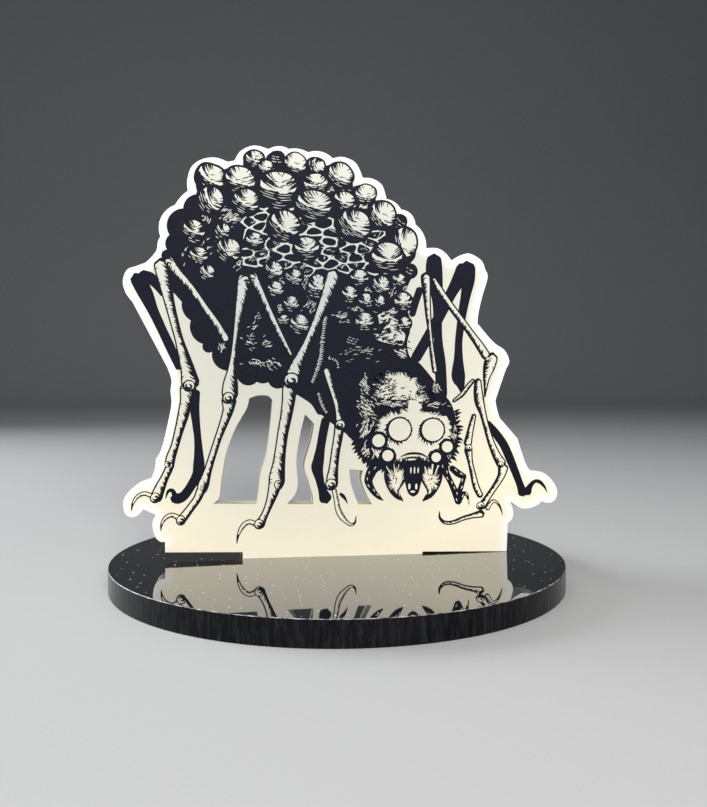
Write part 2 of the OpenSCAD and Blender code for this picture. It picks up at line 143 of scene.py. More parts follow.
EDGE = [
    # left foot
    [(-22.95, 1.4)],
    [(-23.6, 1.42), (-24.3, 2.2), (-24.6, 3.6), (-24.45, 4.5), (-24.2, 4.95)],
    [(-25.8, 5.65)],
    [(-26.4, 4.9), (-27.3, 4.6), (-28.1, 5.1), (-28.35, 6.4), (-28, 7.5),
     (-26.9, 8.7), (-25.8, 9.25), (-24.95, 9.5)],
    # left leg and knee
    [(-24.45, 10.8), (-24.3, 12.2)],
    [(-23.55, 13.7), (-22.7, 17.6), (-22.4, 19.6), (-22.55, 21.2),
     (-22.45, 22.6), (-23, 24.2)],
    [(-27.5, 32.5)],
    [(-28.4, 33.7), (-28.8, 35.2), (-28.3, 36.7), (-27.2, 37.2), (-26, 37.7)],
    [(-25.3, 38.4), (-24.6, 39.4), (-24.45, 40.5), (-24.15, 41.15)],
    # one scallop for each egg on the edge of the mass
    [(-24, 43.8), (-22.35, 45.3)],
    [(-21.65, 46.35), (-20.75, 47.2)],
    [(-20.85, 48.6), (-20.3, 50.35), (-18.9, 51.4), (-17.2, 51.65), (-15.7, 51.2)],
    [(-14.85, 51.4)],
    [(-14, 52.75), (-12.3, 53.5), (-10.4, 53.15)],
    [(-9.1, 53.6), (-7.8, 53.3)],
    [(-6.5, 53.4), (-5.25, 53)],
    [(-3.6, 53.2), (-2, 52.4)],
    [(-0.6, 52.65), (1.1, 51.95), (2.1, 50.05)],
    [(3.4, 50), (4.7, 49.2), (5.35, 47.4)],
    [(6.5, 47), (7.35, 46.1)],
    [(8.6, 45.65), (9.35, 44.2)],
    [(10.5, 42.9), (10.9, 41.1)],
    # right knees
    [(12.4, 41.15), (13.5, 40.6), (14.4, 39.6)],
    [(15.7, 40.35), (17, 40.6), (18.6, 39.7), (19.1, 38.6), (19.5, 37.5),
     (18.8, 34.8), (18.35, 32.6), (18.25, 31.2)],
    [(20.1, 29.15), (21, 28.4), (22.2, 27.6), (22.85, 26.2), (22.4, 25),
     (21.9, 23.5), (21.05, 20.8)],
    # right foot
    [(21.3, 19.6), (21.7, 18.4)],
    [(24.3, 15.6)],
    [(25, 13.6), (25.6, 12.1), (26.2, 11.2)],
    [(28, 10.95), (29.4, 9.9), (30.2, 8.4), (29.9, 7.1), (28.9, 6.7), (28, 6.95)],
    [(27.2, 6.3), (25.3, 5.9), (23.55, 6.85)],
    [(24, 5.5), (23.85, 4.5), (23.25, 3.85)],
    [(SHOULDERS[1], 0)],
    # tab
    [(TAB_ENDS[1], 0)],
    [(TAB_ENDS[1], -TAB_H)],
    [(TAB_ENDS[0], -TAB_H)],
    [(TAB_ENDS[0], 0)],
    [(SHOULDERS[0], 0)]]

WINDOWS = [
    [[(-16.05, 7.3), (-15.75, 9.8), (-15.25, 13), (-14.3, 15.9), (-13.45, 17.6),
      (-12.65, 19.1), (-12.35, 20.4)],
     [(-11.2, 20.8), (-9.9, 20.75), (-9.35, 20.2)],
     [(-9.55, 17.2), (-10, 13.2), (-10.75, 10.3), (-10.9, 8.5), (-11.15, SILL)],
     [(-16.8, SILL)]],
    [[(-6.05, 7.75), (-5.75, 9.2), (-5.95, 12.4), (-5.5, 16), (-4.95, 18.4)],
     [(-3.75, 17.2)],
     [(-4.1, 15), (-4.95, 11.7), (-4.35, 9.5), (-3.75, 7.6), (-3.7, SILL)],
     [(-7.1, SILL)]],
    [[(1.7, 8.3), (1.3, 9.6), (1.15, 11.1)],
     [(2.95, 11)],
     [(2.75, 9.8), (3.35, 8.1), (4.25, SILL)],
     [(2.45, SILL)]]]


# ---------------------------------------------------------------- materials

def node_material(name):
    """A material, and a function that adds nodes to it."""
    mat = bpy.data.materials.new(name)
    mat.use_nodes = True
    tree = mat.node_tree

    def add(kind, *plugs, **settings):
        """Adds a node, or sets up the shader if kind is None. Settings are properties and inputs
        by name, plugs are the first inputs in order, and an input is a value or a socket."""
        node = tree.nodes.new(kind) if kind else tree.nodes["Principled BSDF"]
        todo = []
        for key, value in settings.items():
            socket = node.inputs.get(key.replace("_", " "))
            if socket:
                todo.append((socket, value))
            else:
                setattr(node, key, value)
        for socket, value in todo + list(zip(node.inputs, plugs)):
            if isinstance(value, bpy.types.NodeSocket):
                tree.links.new(value, socket)
            else:
                socket.default_value = value
        return node

    return mat, add


def place_in_mm(add):
    """Object coordinates in millimetres."""
    coords = add("ShaderNodeTexCoord").outputs["Object"]
    return add("ShaderNodeVectorMath", coords, operation="SCALE", Scale=1 / MM).outputs[0]


def ramp(add, source, stops):
    """The colour of a ramp. Its first two stops are its ends."""
    node = add("ShaderNodeValToRGB", source)
    elements = node.color_ramp.elements
    for i, (at, colour) in enumerate(stops):
        e = elements[i] if i < 2 else elements.new(at)
        e.position, e.color = at, (*colour, 1)
    return node.outputs["Color"]


def noise(add, place, scale, detail, roughness=0.5):
    """The value of a noise texture."""
    return add("ShaderNodeTexNoise", place, Scale=scale, Detail=detail,
               Roughness=roughness).outputs["Fac"]


def map_range(add, source, **ends):
    return add("ShaderNodeMapRange", source, **ends).outputs[0]


def fine_bump(add, height, strength):
    """A surface normal roughened by height."""
    node = add("ShaderNodeBump", Strength=strength, Distance=0.00002, Height=height)
    return node.outputs["Normal"]


def ivory_acrylic():
    """Cream opal acrylic with painted light in its colour: a painted glow makes it brighter towards
    its cut edges, and painted shade makes it duller under the print, darkest towards the middle of
    the drawing.
    """
    mat, add = node_material("ivory_acrylic")
    mm = place_in_mm(add)
    # painted shade: the colour darkens towards this point in the middle of the drawing
    middle = add("ShaderNodeVectorMath", mm, (-5.0, FRONT, 39.0), operation="DISTANCE")
    far = map_range(add, middle.outputs["Value"], From_Min=2.0, From_Max=37.0)
    body = ramp(add, far, [(0.0, (0.44, 0.47, 0.46)), (1.0, (0.95, 0.88, 0.68)),
                           (0.3, (0.54, 0.55, 0.49)), (0.7, (0.72, 0.70, 0.58))])
    # painted glow: the glow attribute mixes a near-white into the colour towards the cut edges
    glow = add("ShaderNodeAttribute", attribute_name="glow").outputs["Fac"]
    edge = add("ShaderNodeMix", data_type="RGBA", Factor=glow, A=body, B=(0.98, 0.98, 0.94, 1))
    mottle = add("ShaderNodeMix", data_type="RGBA", blend_type="MULTIPLY", Factor=0.06,
                 A=edge.outputs["Result"], B=noise(add, mm, 0.22, 4.0, 0.55))
    add(None, Base_Color=mottle.outputs["Result"], Roughness=0.42, IOR=1.49,
        Normal=fine_bump(add, noise(add, mm, 9.0, 3.0), 0.05))
    return mat


def black_ink():
    """Cured black ink with a faint blue cast and a fine grain."""
    mat, add = node_material("black_ink")
    grain = noise(add, place_in_mm(add), 3.2, 5.0, 0.7)
    tone = ramp(add, grain, [(0.3, (0.002, 0.004, 0.010)), (0.7, (0.009, 0.010, 0.021))])
    add(None, Base_Color=tone, Normal=fine_bump(add, grain, 0.10), Roughness=0.55,
        Specular_IOR_Level=0.08)
    return mat


def base_acrylic():
    """Polished black acrylic with specks of dust, each in a cell of its own."""
    mat, add = node_material("base_acrylic")
    mm = place_in_mm(add)
    wander = add("ShaderNodeTexNoise", mm, Scale=3.0, Detail=2.0)
    strayed = add("ShaderNodeMix", data_type="VECTOR", Factor=0.12, A=mm, B=wander.outputs["Color"])
    cells = add("ShaderNodeTexVoronoi", strayed.outputs["Result"], voronoi_dimensions="2D",
                Scale=0.75)
    lot = add("ShaderNodeSeparateColor", cells.outputs["Color"]).outputs["Red"]
    size = map_range(add, lot, From_Min=0.45, From_Max=1.0, To_Min=0.0, To_Max=0.085)
    speck = add("ShaderNodeMath", cells.outputs["Distance"], size, operation="LESS_THAN").outputs[0]
    colour = add("ShaderNodeMix", data_type="RGBA", Factor=speck, A=(0.006, 0.006, 0.008, 1),
                 B=(0.75, 0.76, 0.78, 1))
    add(None, Base_Color=colour.outputs["Result"], IOR=1.49, Coat_Weight=0.6, Coat_Roughness=0.02,
        Coat_IOR=1.49, Roughness=map_range(add, speck, To_Min=0.025, To_Max=0.7))
    return mat


def cut_edge():
    """The laser-cut wall of the base: black, frosted in upright streaks."""
    mat, add = node_material("cut_edge")
    stretch = add("ShaderNodeVectorMath", place_in_mm(add), (1.0, 1.0, 0.12),
                  operation="MULTIPLY").outputs[0]
    streak = noise(add, stretch, 2.6, 6.0, 0.7)
    tone = ramp(add, streak, [(0.45, (0.001, 0.001, 0.002)), (0.78, (0.020, 0.022, 0.025))])
    add(None, Base_Color=tone, Specular_IOR_Level=0.16, IOR=1.49,
        Roughness=map_range(add, streak, To_Min=0.08, To_Max=0.30))
    return mat


def painted_rim_highlight():
    """The thin edge round the base's top: painted pale as a highlight line along the rim, with
    brighter spots.
    """
    mat, add = node_material("painted_rim_highlight")
    spots = noise(add, place_in_mm(add), 0.9, 4.0, 0.7)
    # painted highlight: pale spots along the rim stand in for the line of light it catches
    tone = ramp(add, spots, [(0.42, (0.05, 0.05, 0.055)), (0.70, (0.85, 0.85, 0.82))])
    add(None, Base_Color=tone, Roughness=0.35, IOR=1.49)
    return mat


IVORY, INK = ivory_acrylic(), black_ink()
BASE_MATERIAL, RIM_MATERIAL, EDGE_MATERIAL = base_acrylic(), painted_rim_highlight(), cut_edge()


# ---------------------------------------------------------------- meshes

def make_piece(name, verts, faces, materials, picks=None, smooth=None):
    """A mesh piece. picks gives each face's material and smooth says which faces are smooth."""
    mesh = bpy.data.meshes.new(name)
    mesh.from_pydata([tuple(v) for v in verts], [], faces)
    for m in materials:
        mesh.materials.append(m)
    if picks:
        mesh.polygons.foreach_set("material_index", picks)
    if smooth:
        mesh.polygons.foreach_set("use_smooth", smooth)
    mesh.update()
    piece = bpy.data.objects.new(name, mesh)
    bpy.context.scene.collection.objects.link(piece)
    return piece


def distance_to(points, loops):
    """Distance from each point to the nearest edge of the loops."""
    best = np.full(len(points), 1e9)
    for loop in loops:
        a = np.array(loop)
        b = np.roll(a, -1, axis=0)
        d = b - a
        for i in range(0, len(a), 64):
            ai, di = a[i:i + 64], d[i:i + 64]
            rel = points[:, None, :] - ai[None]
            t = np.clip((rel * di).sum(2) / (di * di).sum(1), 0, 1)
            gap = rel - t[..., None] * di
            best = np.minimum(best, np.sqrt((gap * gap).sum(2)).min(1))
    return best


def inside(points, loop):
    """Which points lie inside a closed loop."""
    hit = np.zeros(len(points), bool)
    x, y = points[:, 0], points[:, 1]
    for (x0, y0), (x1, y1) in zip(loop, loop[1:] + loop[:1]):
        if y0 != y1:
            hit ^= ((y0 > y) != (y1 > y)) & (x < (x1 - x0) * (y - y0) / (y1 - y0) + x0)
    return hit


def inset(loop, by):
    """A closed anticlockwise loop moved inwards; a clockwise one moves outwards."""
    p = np.array(loop)
    t = np.roll(p, -1, axis=0) - np.roll(p, 1, axis=0)
    t /= np.linalg.norm(t, axis=1)[:, None]
    return [tuple(q) for q in p + by * np.stack([-t[:, 1], t[:, 0]], 1)]


def sheet_mesh(loops, grid, chamfer):
    """Triangles of a flat sheet: points, faces, and where each loop's points ended up.
    The first loop is the anticlockwise outline, and the others are clockwise holes."""
    rims = [inset(loop, chamfer) for loop in loops]
    flat = [p for rim in rims for p in rim]
    low, high = np.min(flat, axis=0), np.max(flat, axis=0)
    us, vs = np.arange(low[0], high[0], grid), np.arange(low[1], high[1], grid)
    extra = np.array([(u + (j % 2) * grid / 2, v) for j, v in enumerate(vs) for u in us])
    keep = inside(extra, rims[0]) & (distance_to(extra, rims) > 0.45 * grid)
    for rim in rims[1:]:
        keep &= ~inside(extra, rim)
    extra = extra[keep]
    start, faces = 0, []
    for rim in rims:
        faces.append(list(range(start, start + len(rim))))
        start += len(rim)
    points, _, tris, origin, _, _ = delaunay_2d_cdt(
        [Vector(p) for p in flat] + [Vector(p) for p in extra.tolist()], [], faces, 1, 1e-7)
    middles = np.array([np.mean([points[i] for i in t], axis=0) for t in tris])
    solid = inside(middles, rims[0])
    for rim in rims[1:]:
        solid &= ~inside(middles, rim)
    tris = [t for t, filled in zip(tris, solid) if filled]
    where = {}
    for new, olds in enumerate(origin):
        for old in olds:
            where[old] = new
    return points, tris, [[where[i] for i in f] for f in faces]


def wall(ring, next_ring):
    """The faces between two rings of as many points."""
    return [[a, c, d, b] for a, b, c, d in zip(ring, ring[1:] + ring[:1], next_ring,
                                              next_ring[1:] + next_ring[:1])]


def cut_sheet(name, loops, place, depth, grid, materials, chamfer=0.05, rows=5, wobble=None):
    """A flat sheet with thickness, cut to the loops, its edges slightly rounded.
    place(u, v, w) puts a point that is w behind the front face. Returns the piece and the flat
    position of every vertex."""
    points, tris, rings = sheet_mesh(loops, grid, chamfer)
    n = len(points)
    flat = [tuple(p) for p in points]
    verts = [place(u, v, 0) for u, v in flat] + [place(u, v, depth) for u, v in flat]
    flat = flat + flat
    faces = [list(t) for t in tris] + [[i + n for i in t[::-1]] for t in tris]
    picks, smooth = [0] * len(faces), [False] * len(faces)
    levels = [chamfer + (depth - 2 * chamfer) * k / (rows - 1) for k in range(rows)]
    for loop, ring in zip(loops, rings):
        below = list(ring)
        for row, level in enumerate(levels):
            start = len(verts)
            for i, (u, v) in enumerate(loop):
                if wobble:
                    u, v = wobble(u, v, i, level)
                verts.append(place(u, v, level))
                flat.append((u, v))
            ringed = list(range(start, start + len(loop)))
            faces += wall(below, ringed)
            picks += [len(materials) // 2 if row == 0 else len(materials) - 1] * len(loop)
            below = ringed
        faces += wall(below, [i + n for i in ring])
        picks += [len(materials) - 1] * len(loop)
    smooth += [wobble is None] * (len(faces) - len(smooth))
    return make_piece(name, verts, faces, materials, picks, smooth), flat


# ---------------------------------------------------------------- the base and the figure

def make_base():
    """The round base, its slot, and its striated laser-cut wall."""
    columns = 1260
    rng = random.Random(3)
    grooves = [rng.uniform(0, 1) ** 2 for _ in range(columns)]
    circle = [(BASE_R * math.cos(2 * math.pi * k / columns),
               BASE_R * math.sin(2 * math.pi * k / columns)) for k in range(columns)]
    gap_u, gap_v = 0.25, 0.06
    left, right = TAB_ENDS[0] - gap_u, TAB_ENDS[1] + gap_u
    half = (BACK - FRONT) / 2 + gap_v
    slot = outline([[(left, half)], [(right, half)], [(right, -half)], [(left, -half)]], 0.5)

    def wobble(u, v, i, level):
        if abs(math.hypot(u, v) - BASE_R) > 0.01:
            return u, v
        drag = math.sin(i * 0.9 + level * 1.3) * level / BASE_TOP
        cut = 0.016 * grooves[i] + 0.010 * max(0.0, drag)
        f = 1 - cut / BASE_R
        return u * f, v * f

    def place(u, v, w):
        return Vector((u, v, BASE_TOP - w)) * MM

    piece, _ = cut_sheet("round_base", [circle, slot], place, BASE_TOP, 3.0,
                         [BASE_MATERIAL, RIM_MATERIAL, EDGE_MATERIAL], chamfer=0.06, rows=7,
                         wobble=wobble)
    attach(piece, "base")
    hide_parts("base_disc")


def make_figure():
    """The cream figure plate. Its glow attribute, a painted glow in the plate's colour, is 1 at the
    cut edges, apart from those of the tab and the windows, and fades inwards."""
    loops = [anticlockwise(outline(EDGE))] + [anticlockwise(outline(w))[::-1] for w in WINDOWS]

    def place(u, v, w):
        return on_face(u, v, -w)

    piece, flat = cut_sheet("figure_sheet", loops, place, BACK - FRONT, 0.6, [IVORY])
    glow = piece.data.attributes.new("glow", "FLOAT", "POINT")
    free = outline(EDGE[1:-6] + [[(SHOULDERS[1], 0.4)]], start=EDGE[0][-1])
    free += [(60, 0.4), (60, -60), (-60, -60), (-60, 1.4)]
    # the painted glow fades with the distance from the free cut edges
    gap = distance_to(np.array(flat), [free])
    fade = np.clip(1.15 - gap / 1.3, 0, 1)
    glow.data.foreach_set("value", (fade * fade * (3 - 2 * fade)).astype(np.float32))
    piece.data.set_sharp_from_angle(angle=math.radians(35))
    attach(piece, "figure")
    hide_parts("figure_plate")


make_base()
make_figure()


# ---------------------------------------------------------------- drawing tools

# Heights of the layers of the print above the face, in millimetres
FILL, BACK_HATCH, STRAND = 0.004, 0.008, 0.011
EGG_LOW, EGG_STEP = 0.014, 0.0042
LEG_LINE, LEG_LIGHT, LEG_MARK, TOP_LIGHT, TOP_DARK = 0.040, 0.044, 0.048, 0.052, 0.056
SUNK = 0.004
BLACK, LIGHT = 0, 1


class Print:
    """One named part of the print: flat closed shapes that stand a little proud of the face.
    It replaces the node name_print."""

    def __init__(self, name, seed):
        self.name = name
        self.verts, self.faces, self.count = {BLACK: [], LIGHT: []}, {BLACK: [], LIGHT: []}, 0
        self.rng = random.Random(seed)

    def shape(self, points, height, tone=BLACK):
        """A filled shape."""
        points = anticlockwise([tuple(p[:2]) for p in points])
        self.count += 1
        height += 0.0001 * (self.count % 12)
        verts, faces = self.verts[tone], self.faces[tone]
        n, start = len(points), len(verts)
        verts += [on_face(u, v, height) for u, v in points]
        verts += [on_face(u, v, -SUNK) for u, v in points]
        top = list(range(start, start + n))
        low = [i + n for i in top]
        faces += [top, low[::-1]] + wall(top, low)

    def band(self, path, height, tone=BLACK):
        """A band along (across, up, half width) points, as they are."""
        left, right = sides([np.array(q) for q in path])
        self.shape(left + right[::-1], height, tone)

    def line(self, path, height, tone=BLACK, step=0.3):
        """A smooth line through (across, up, half width) points."""
        self.band(curve(path, step), height, tone)

    def stroke(self, a, b, width, height, tone=BLACK, bow=0.0):
        """A pen stroke from a to b that starts wide and ends in a point."""
        a, b = np.array(a, float), np.array(b, float)
        d = b - a
        across = np.array([-d[1], d[0]])
        path = []
        for f, w in ((0, 0.5), (0.35, 0.42), (0.7, 0.25), (1, 0.06)):
            p = a + d * f + across * bow * math.sin(math.pi * f)
            path.append((p[0], p[1], w * width))
        self.band(path, height, tone)

    def oval(self, u, v, ru, rv, turn, height, tone=BLACK, n=36, rough=0.0):
        """An oval, turned by turn degrees, with an edge as uneven as rough."""
        c, s = math.cos(math.radians(turn)), math.sin(math.radians(turn))
        pts = []
        for k in range(n):
            t = 2 * math.pi * k / n
            f = 1 + self.rng.uniform(-rough, rough)
            x, y = ru * math.cos(t) * f, rv * math.sin(t) * f
            pts.append((u + x * c - y * s, v + x * s + y * c))
        self.shape(pts, height, tone)

    def finish(self):
        """Makes the black lines and, where there are any, the light shapes between them."""
        lines = make_piece(self.name, self.verts[BLACK], self.faces[BLACK], [INK])
        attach(lines, "figure")
        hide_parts(self.name + "_print")
        if self.verts[LIGHT]:
            lights = make_piece(self.name + "_lights", self.verts[LIGHT], self.faces[LIGHT],
                                [IVORY])
            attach(lights, "figure")


def sides(path):
    """The two sides of a line of (across, up, half width) points."""
    left, right = [], []
    for i, p in enumerate(path):
        a, b = path[max(i - 1, 0)], path[min(i + 1, len(path) - 1)]
        t = (b - a)[:2]
        t = t / (np.linalg.norm(t) or 1)
        normal = np.array([-t[1], t[0]])
        w = max(p[2], 0.015)
        left.append(tuple(p[:2] + normal * w))
        right.append(tuple(p[:2] - normal * w))
    return left, right


def rounded(path):
    """The outline of a limb along (across, up, half width) points, with round ends."""
    left, right = sides(path)

    def cap(end, before):
        t = (end - before)[:2]
        turn = math.atan2(t[1], t[0])
        r = max(end[2], 0.015)
        return [tuple(end[:2] + r * np.array([math.cos(turn + a), math.sin(turn + a)]))
                for a in (math.pi / 3, 0, -math.pi / 3)]

    return left + cap(path[-1], path[-2]) + right[::-1] + cap(path[0], path[1])


def limb(art, path, shade, claw):
    """A leg segment with round ends: a line on its lit side and a toothed shadow on the other,
    which shade picks: 1 is the right side of a leg drawn downwards."""
    line = 0.14 if claw else 0.19
    fine = curve(path, 0.13)
    art.shape(rounded(fine), LEG_LINE)
    inner = []
    for i, p in enumerate(fine):
        across = normal_at(fine, i) * shade
        solid = line if claw else 0.13 + 0.34 * p[2]
        w = p[2] - (line + solid) / 2
        if w > 0.03:
            middle = p[:2] - across * (solid - line) / 2
            inner.append(np.array([middle[0], middle[1], w]))
    if len(inner) > 3:
        art.shape(rounded(inner[1:-1]), LEG_LIGHT, LIGHT)
        shadow_teeth(art, fine, shade, 0.5 if claw else 1.0)


def shadow_teeth(art, fine, shade, comb):
    """Teeth along a limb's shadow, as long as comb, and a few marks on its lit side."""
    travelled, wait = 0.0, 0.0
    for i in range(1, len(fine) - 1):
        travelled += np.linalg.norm((fine[i] - fine[i - 1])[:2])
        if travelled < wait:
            continue
        wait = travelled + 0.21 * art.rng.uniform(0.75, 1.25)
        w = fine[i][2]
        if w < 0.24:
            continue
        across = normal_at(fine, i) * shade
        along = np.array([across[1], -across[0]]) * shade
        start = fine[i][:2] + across * (w * 0.72 - 0.05)
        reach = w * comb * art.rng.uniform(0.3, 0.85)
        end = start - across * reach - along * reach * art.rng.uniform(0.6, 1.2)
        art.stroke(start, end, 0.25, LEG_MARK)
        if w > 0.6 and art.rng.random() < 0.3:
            start = fine[i][:2] - across * (w - 0.08)
            end = start + across * w * art.rng.uniform(0.2, 0.45) - along * 0.2
            art.stroke(start, end, 0.16, LEG_MARK)


def normal_at(path, i):
    """The direction across a path at its i-th point, to the left of the way it runs."""
    t = (path[min(i + 1, len(path) - 1)] - path[max(i - 1, 0)])[:2]
    t = t / (np.linalg.norm(t) or 1)
    return np.array([-t[1], t[0]])


def swirl(art, u, v, r, start, sweep, width, height):
    """A curved stroke round u, v that is widest at its middle."""
    path = []
    for j in range(9):
        a = math.radians(start + sweep * j / 8)
        path.append((u + r * math.cos(a), v + r * 0.92 * math.sin(a),
                     0.5 * width * math.sin(math.pi * (j + 0.7) / 9.4)))
    art.line(path, height, step=0.1)


def knob(art, u, v, r, turn=0):
    """A round joint: a light ball with a dark underside and curled strokes."""
    art.oval(u, v, r, r * 0.94, turn, LEG_MARK, BLACK, 26, 0.03)
    lit = math.radians(turn + 60)
    art.oval(u + 0.1 * r * math.cos(lit), v + 0.1 * r * math.sin(lit), r * 0.74, r * 0.66, turn,
             TOP_LIGHT, LIGHT, 26, 0.05)
    swirl(art, u, v, r * 0.45, turn + 130, 250, 0.36 * r + 0.05, TOP_DARK)
    swirl(art, u - 0.15 * r, v - 0.3 * r, r * 0.5, turn + 170, 130, 0.38 * r, TOP_DARK)
    swirl(art, u + 0.1 * r, v + 0.05 * r, r * 0.16, turn - 60, 180, 0.26 * r + 0.04,
          TOP_DARK)


# ---------------------------------------------------------------- near legs

# Each segment: (points of (across, up, half width), side of the shadow)
NEAR_LEGS = {
    1: [([(-23.1, 38, 0.8), (-22.1, 36.7, 0.68), (-20.2, 34.6, 0.6), (-18.4, 32.2, 0.55),
          (-16.8, 30, 0.6), (-15.6, 28.1, 0.6)], -1),
        ([(-23.9, 37.4, 1.05), (-23.6, 36, 0.95), (-22.95, 33, 0.7), (-22.3, 30.5, 0.6),
          (-21.6, 28, 0.58), (-21, 26, 0.75), (-20.4, 24, 0.95), (-20.05, 22.4, 1.2)], 1),
        ([(-20.3, 21.4, 1.1), (-20.5, 20, 0.85), (-20.9, 18, 0.75), (-21.4, 16, 0.6),
          (-21.9, 14, 0.55), (-22.4, 12.4, 0.65), (-22.5, 11.4, 0.6)], 1),
        ([(-22.6, 11, 0.55), (-23.15, 9.8, 0.55), (-23.7, 8.5, 0.7), (-24.15, 7.3, 0.8)], 1),
        ([(-24.6, 7.35, 0.35), (-25.6, 7.75, 0.3), (-26.5, 7.4, 0.27), (-27.1, 6.5, 0.19),
          (-27.3, 5.5, 0.05)], 1)],
    2: [([(-12.3, 36.4, 0.8), (-11.4, 34.8, 0.62), (-10.5, 32.9, 0.55), (-9.4, 30.7, 0.5),
          (-8.3, 28.5, 0.48), (-7, 26.3, 0.3)], -1),
        ([(-13.1, 36, 1.1), (-13.4, 34.5, 0.92), (-13.8, 32, 0.68), (-14.2, 29, 0.48),
          (-14.5, 26, 0.47), (-14.7, 24, 0.66), (-14.85, 22.3, 1), (-14.9, 21, 1.1)], 1),
        ([(-15, 20, 1), (-15.1, 18.8, 0.75), (-15.6, 17.2, 0.6), (-16.3, 15.2, 0.5),
          (-17, 12.9, 0.5), (-17.6, 10.8, 0.55), (-18.1, 9.1, 0.75), (-18.3, 8.4, 0.7)], 1),
        ([(-18.5, 8.1, 0.62), (-18.9, 7.1, 0.55), (-19.8, 5.8, 0.55), (-20.6, 4.7, 0.6),
          (-20.95, 4.25, 0.6)], 1),
        ([(-21.3, 4.6, 0.38), (-22.1, 4.95, 0.32), (-22.9, 4.6, 0.28), (-23.4, 3.8, 0.19),
          (-23.5, 2.9, 0.05)], 1)],
    3: [([(-1.5, 36.9, 1.05), (-1.9, 35.5, 0.98), (-2.6, 33.5, 0.82), (-3.3, 31.6, 0.72),
          (-4.1, 29.7, 0.62), (-4.9, 27.8, 0.6), (-5.6, 26.2, 0.75), (-6.2, 24.6, 1),
          (-6.75, 23, 1.15)], 1),
        ([(-7.1, 21.9, 1), (-7.2, 20.2, 0.9), (-7.5, 18, 0.8), (-7.85, 16, 0.75),
          (-8.1, 14, 0.75), (-8.3, 12, 0.85), (-8.5, 10.3, 1.05), (-8.55, 9.5, 1.1)], 1),
        ([(-8.75, 9.1, 0.9), (-9, 8, 0.75), (-9.5, 6.4, 0.55), (-10.1, 4.9, 0.5),
          (-10.65, 3.8, 0.7)], 1),
        ([(-11.2, 3.8, 0.38), (-12.1, 4.05, 0.34), (-12.9, 3.5, 0.33), (-13.45, 2.4, 0.2),
          (-13.65, 1.2, 0.05)], 1)],
    4: [([(-2.15, 24.35, 0.6), (-1.75, 23, 0.55), (-1.2, 21.2, 0.45), (-0.7, 19.6, 0.45),
          (-0.45, 18.3, 0.5), (-0.25, 17.2, 0.7)], 1),
        ([(-0.35, 16.9, 0.7), (-0.5, 15.5, 0.65), (-0.8, 13.5, 0.62), (-1, 11.5, 0.65),
          (-1.15, 10, 0.8), (-1.2, 9.2, 0.85)], 1),
        ([(-0.85, 8.3, 0.35), (-0.55, 7, 0.35), (-0.3, 5.8, 0.4), (0.15, 4.9, 0.42),
          (0.8, 4.15, 0.3), (1.5, 3.7, 0.22), (2.05, 4, 0.14), (2.15, 4.8, 0.05)], 1)],
    5: [([(10.9, 37.2, 0.7), (11, 36, 0.65), (11.2, 34, 0.5), (11.4, 32, 0.42),
          (11.6, 30.5, 0.35), (11.85, 28.5, 0.35), (12.15, 26.5, 0.4), (12.5, 24.6, 0.4)], -1),
        ([(12, 36.9, 0.4), (12.9, 35.5, 0.5), (14.2, 33.75, 0.5), (15.6, 32, 0.5),
          (17.2, 30, 0.5), (18.6, 28.2, 0.6), (19.5, 26.9, 0.65)], -1),
        ([(20.3, 26.5, 0.9), (20, 25.3, 0.85), (19.7, 24, 0.55), (19.6, 22.7, 0.3),
          (19.5, 21.3, 0.12)], -1)],
    6: [([(15.2, 20.6, 0.25), (16.3, 21.5, 0.35), (17.2, 22.7, 0.35), (17.8, 23.4, 0.3)], -1),
        ([(18.5, 23.3, 0.5), (18.55, 22, 0.65), (18.8, 20.5, 0.7), (19.3, 19, 0.5),
          (19.8, 17.3, 0.45), (20.5, 15.2, 0.5), (21.3, 13.4, 0.6), (22.05, 12.2, 0.72)], -1),
        ([(22.35, 11.5, 0.75), (22.1, 10.4, 0.55), (21.3, 9, 0.45), (20.3, 7.5, 0.45),
          (19.5, 6.3, 0.55)], -1),
        ([(19.4, 5.2, 0.55), (18.3, 4.95, 0.38), (17, 4.6, 0.33), (15.9, 4.15, 0.3),
          (15, 3.95, 0.28), (14.2, 4.1, 0.24), (13.65, 4.7, 0.17), (13.6, 5.5, 0.05)], -1)],
    7: [([(18.05, 18.6, 0.35), (17.8, 17.5, 0.42), (17.5, 16, 0.5), (17.3, 14.9, 0.6)], -1),
        ([(17.4, 13.9, 0.6), (17.7, 12.4, 0.4), (18.1, 10.8, 0.42), (18.6, 9, 0.48),
          (19.2, 7.8, 0.45)], -1),
        ([(20.3, 6, 0.35), (20.8, 6.75, 0.3), (21.3, 6.95, 0.22), (22, 6.3, 0.15),
          (22.45, 5.1, 0.04)], 1)]}

KNOBS = {1: [(-20.2, 21.9, 0.85, 0), (-22.75, 11.6, 0.45, 120), (-24.3, 7.2, 0.72, 60)],
         2: [(-15.1, 20.4, 0.85, 30), (-18.2, 8.5, 0.4, 90), (-20.95, 4.25, 0.68, 60)],
         3: [(-6.9, 22.9, 1.15, 20), (-8.3, 9, 0.65, 100), (-10.75, 3.75, 0.7, 60)],
         4: [(-0.25, 17.1, 0.75, 0), (-1.3, 9.1, 0.85, 40)],
         5: [(19.8, 26.3, 0.42, 0)],
         6: [(22, 12, 0.5, 0), (19.3, 6.3, 0.6, 30)],
         7: [(17.4, 14.2, 0.55, 0)]}


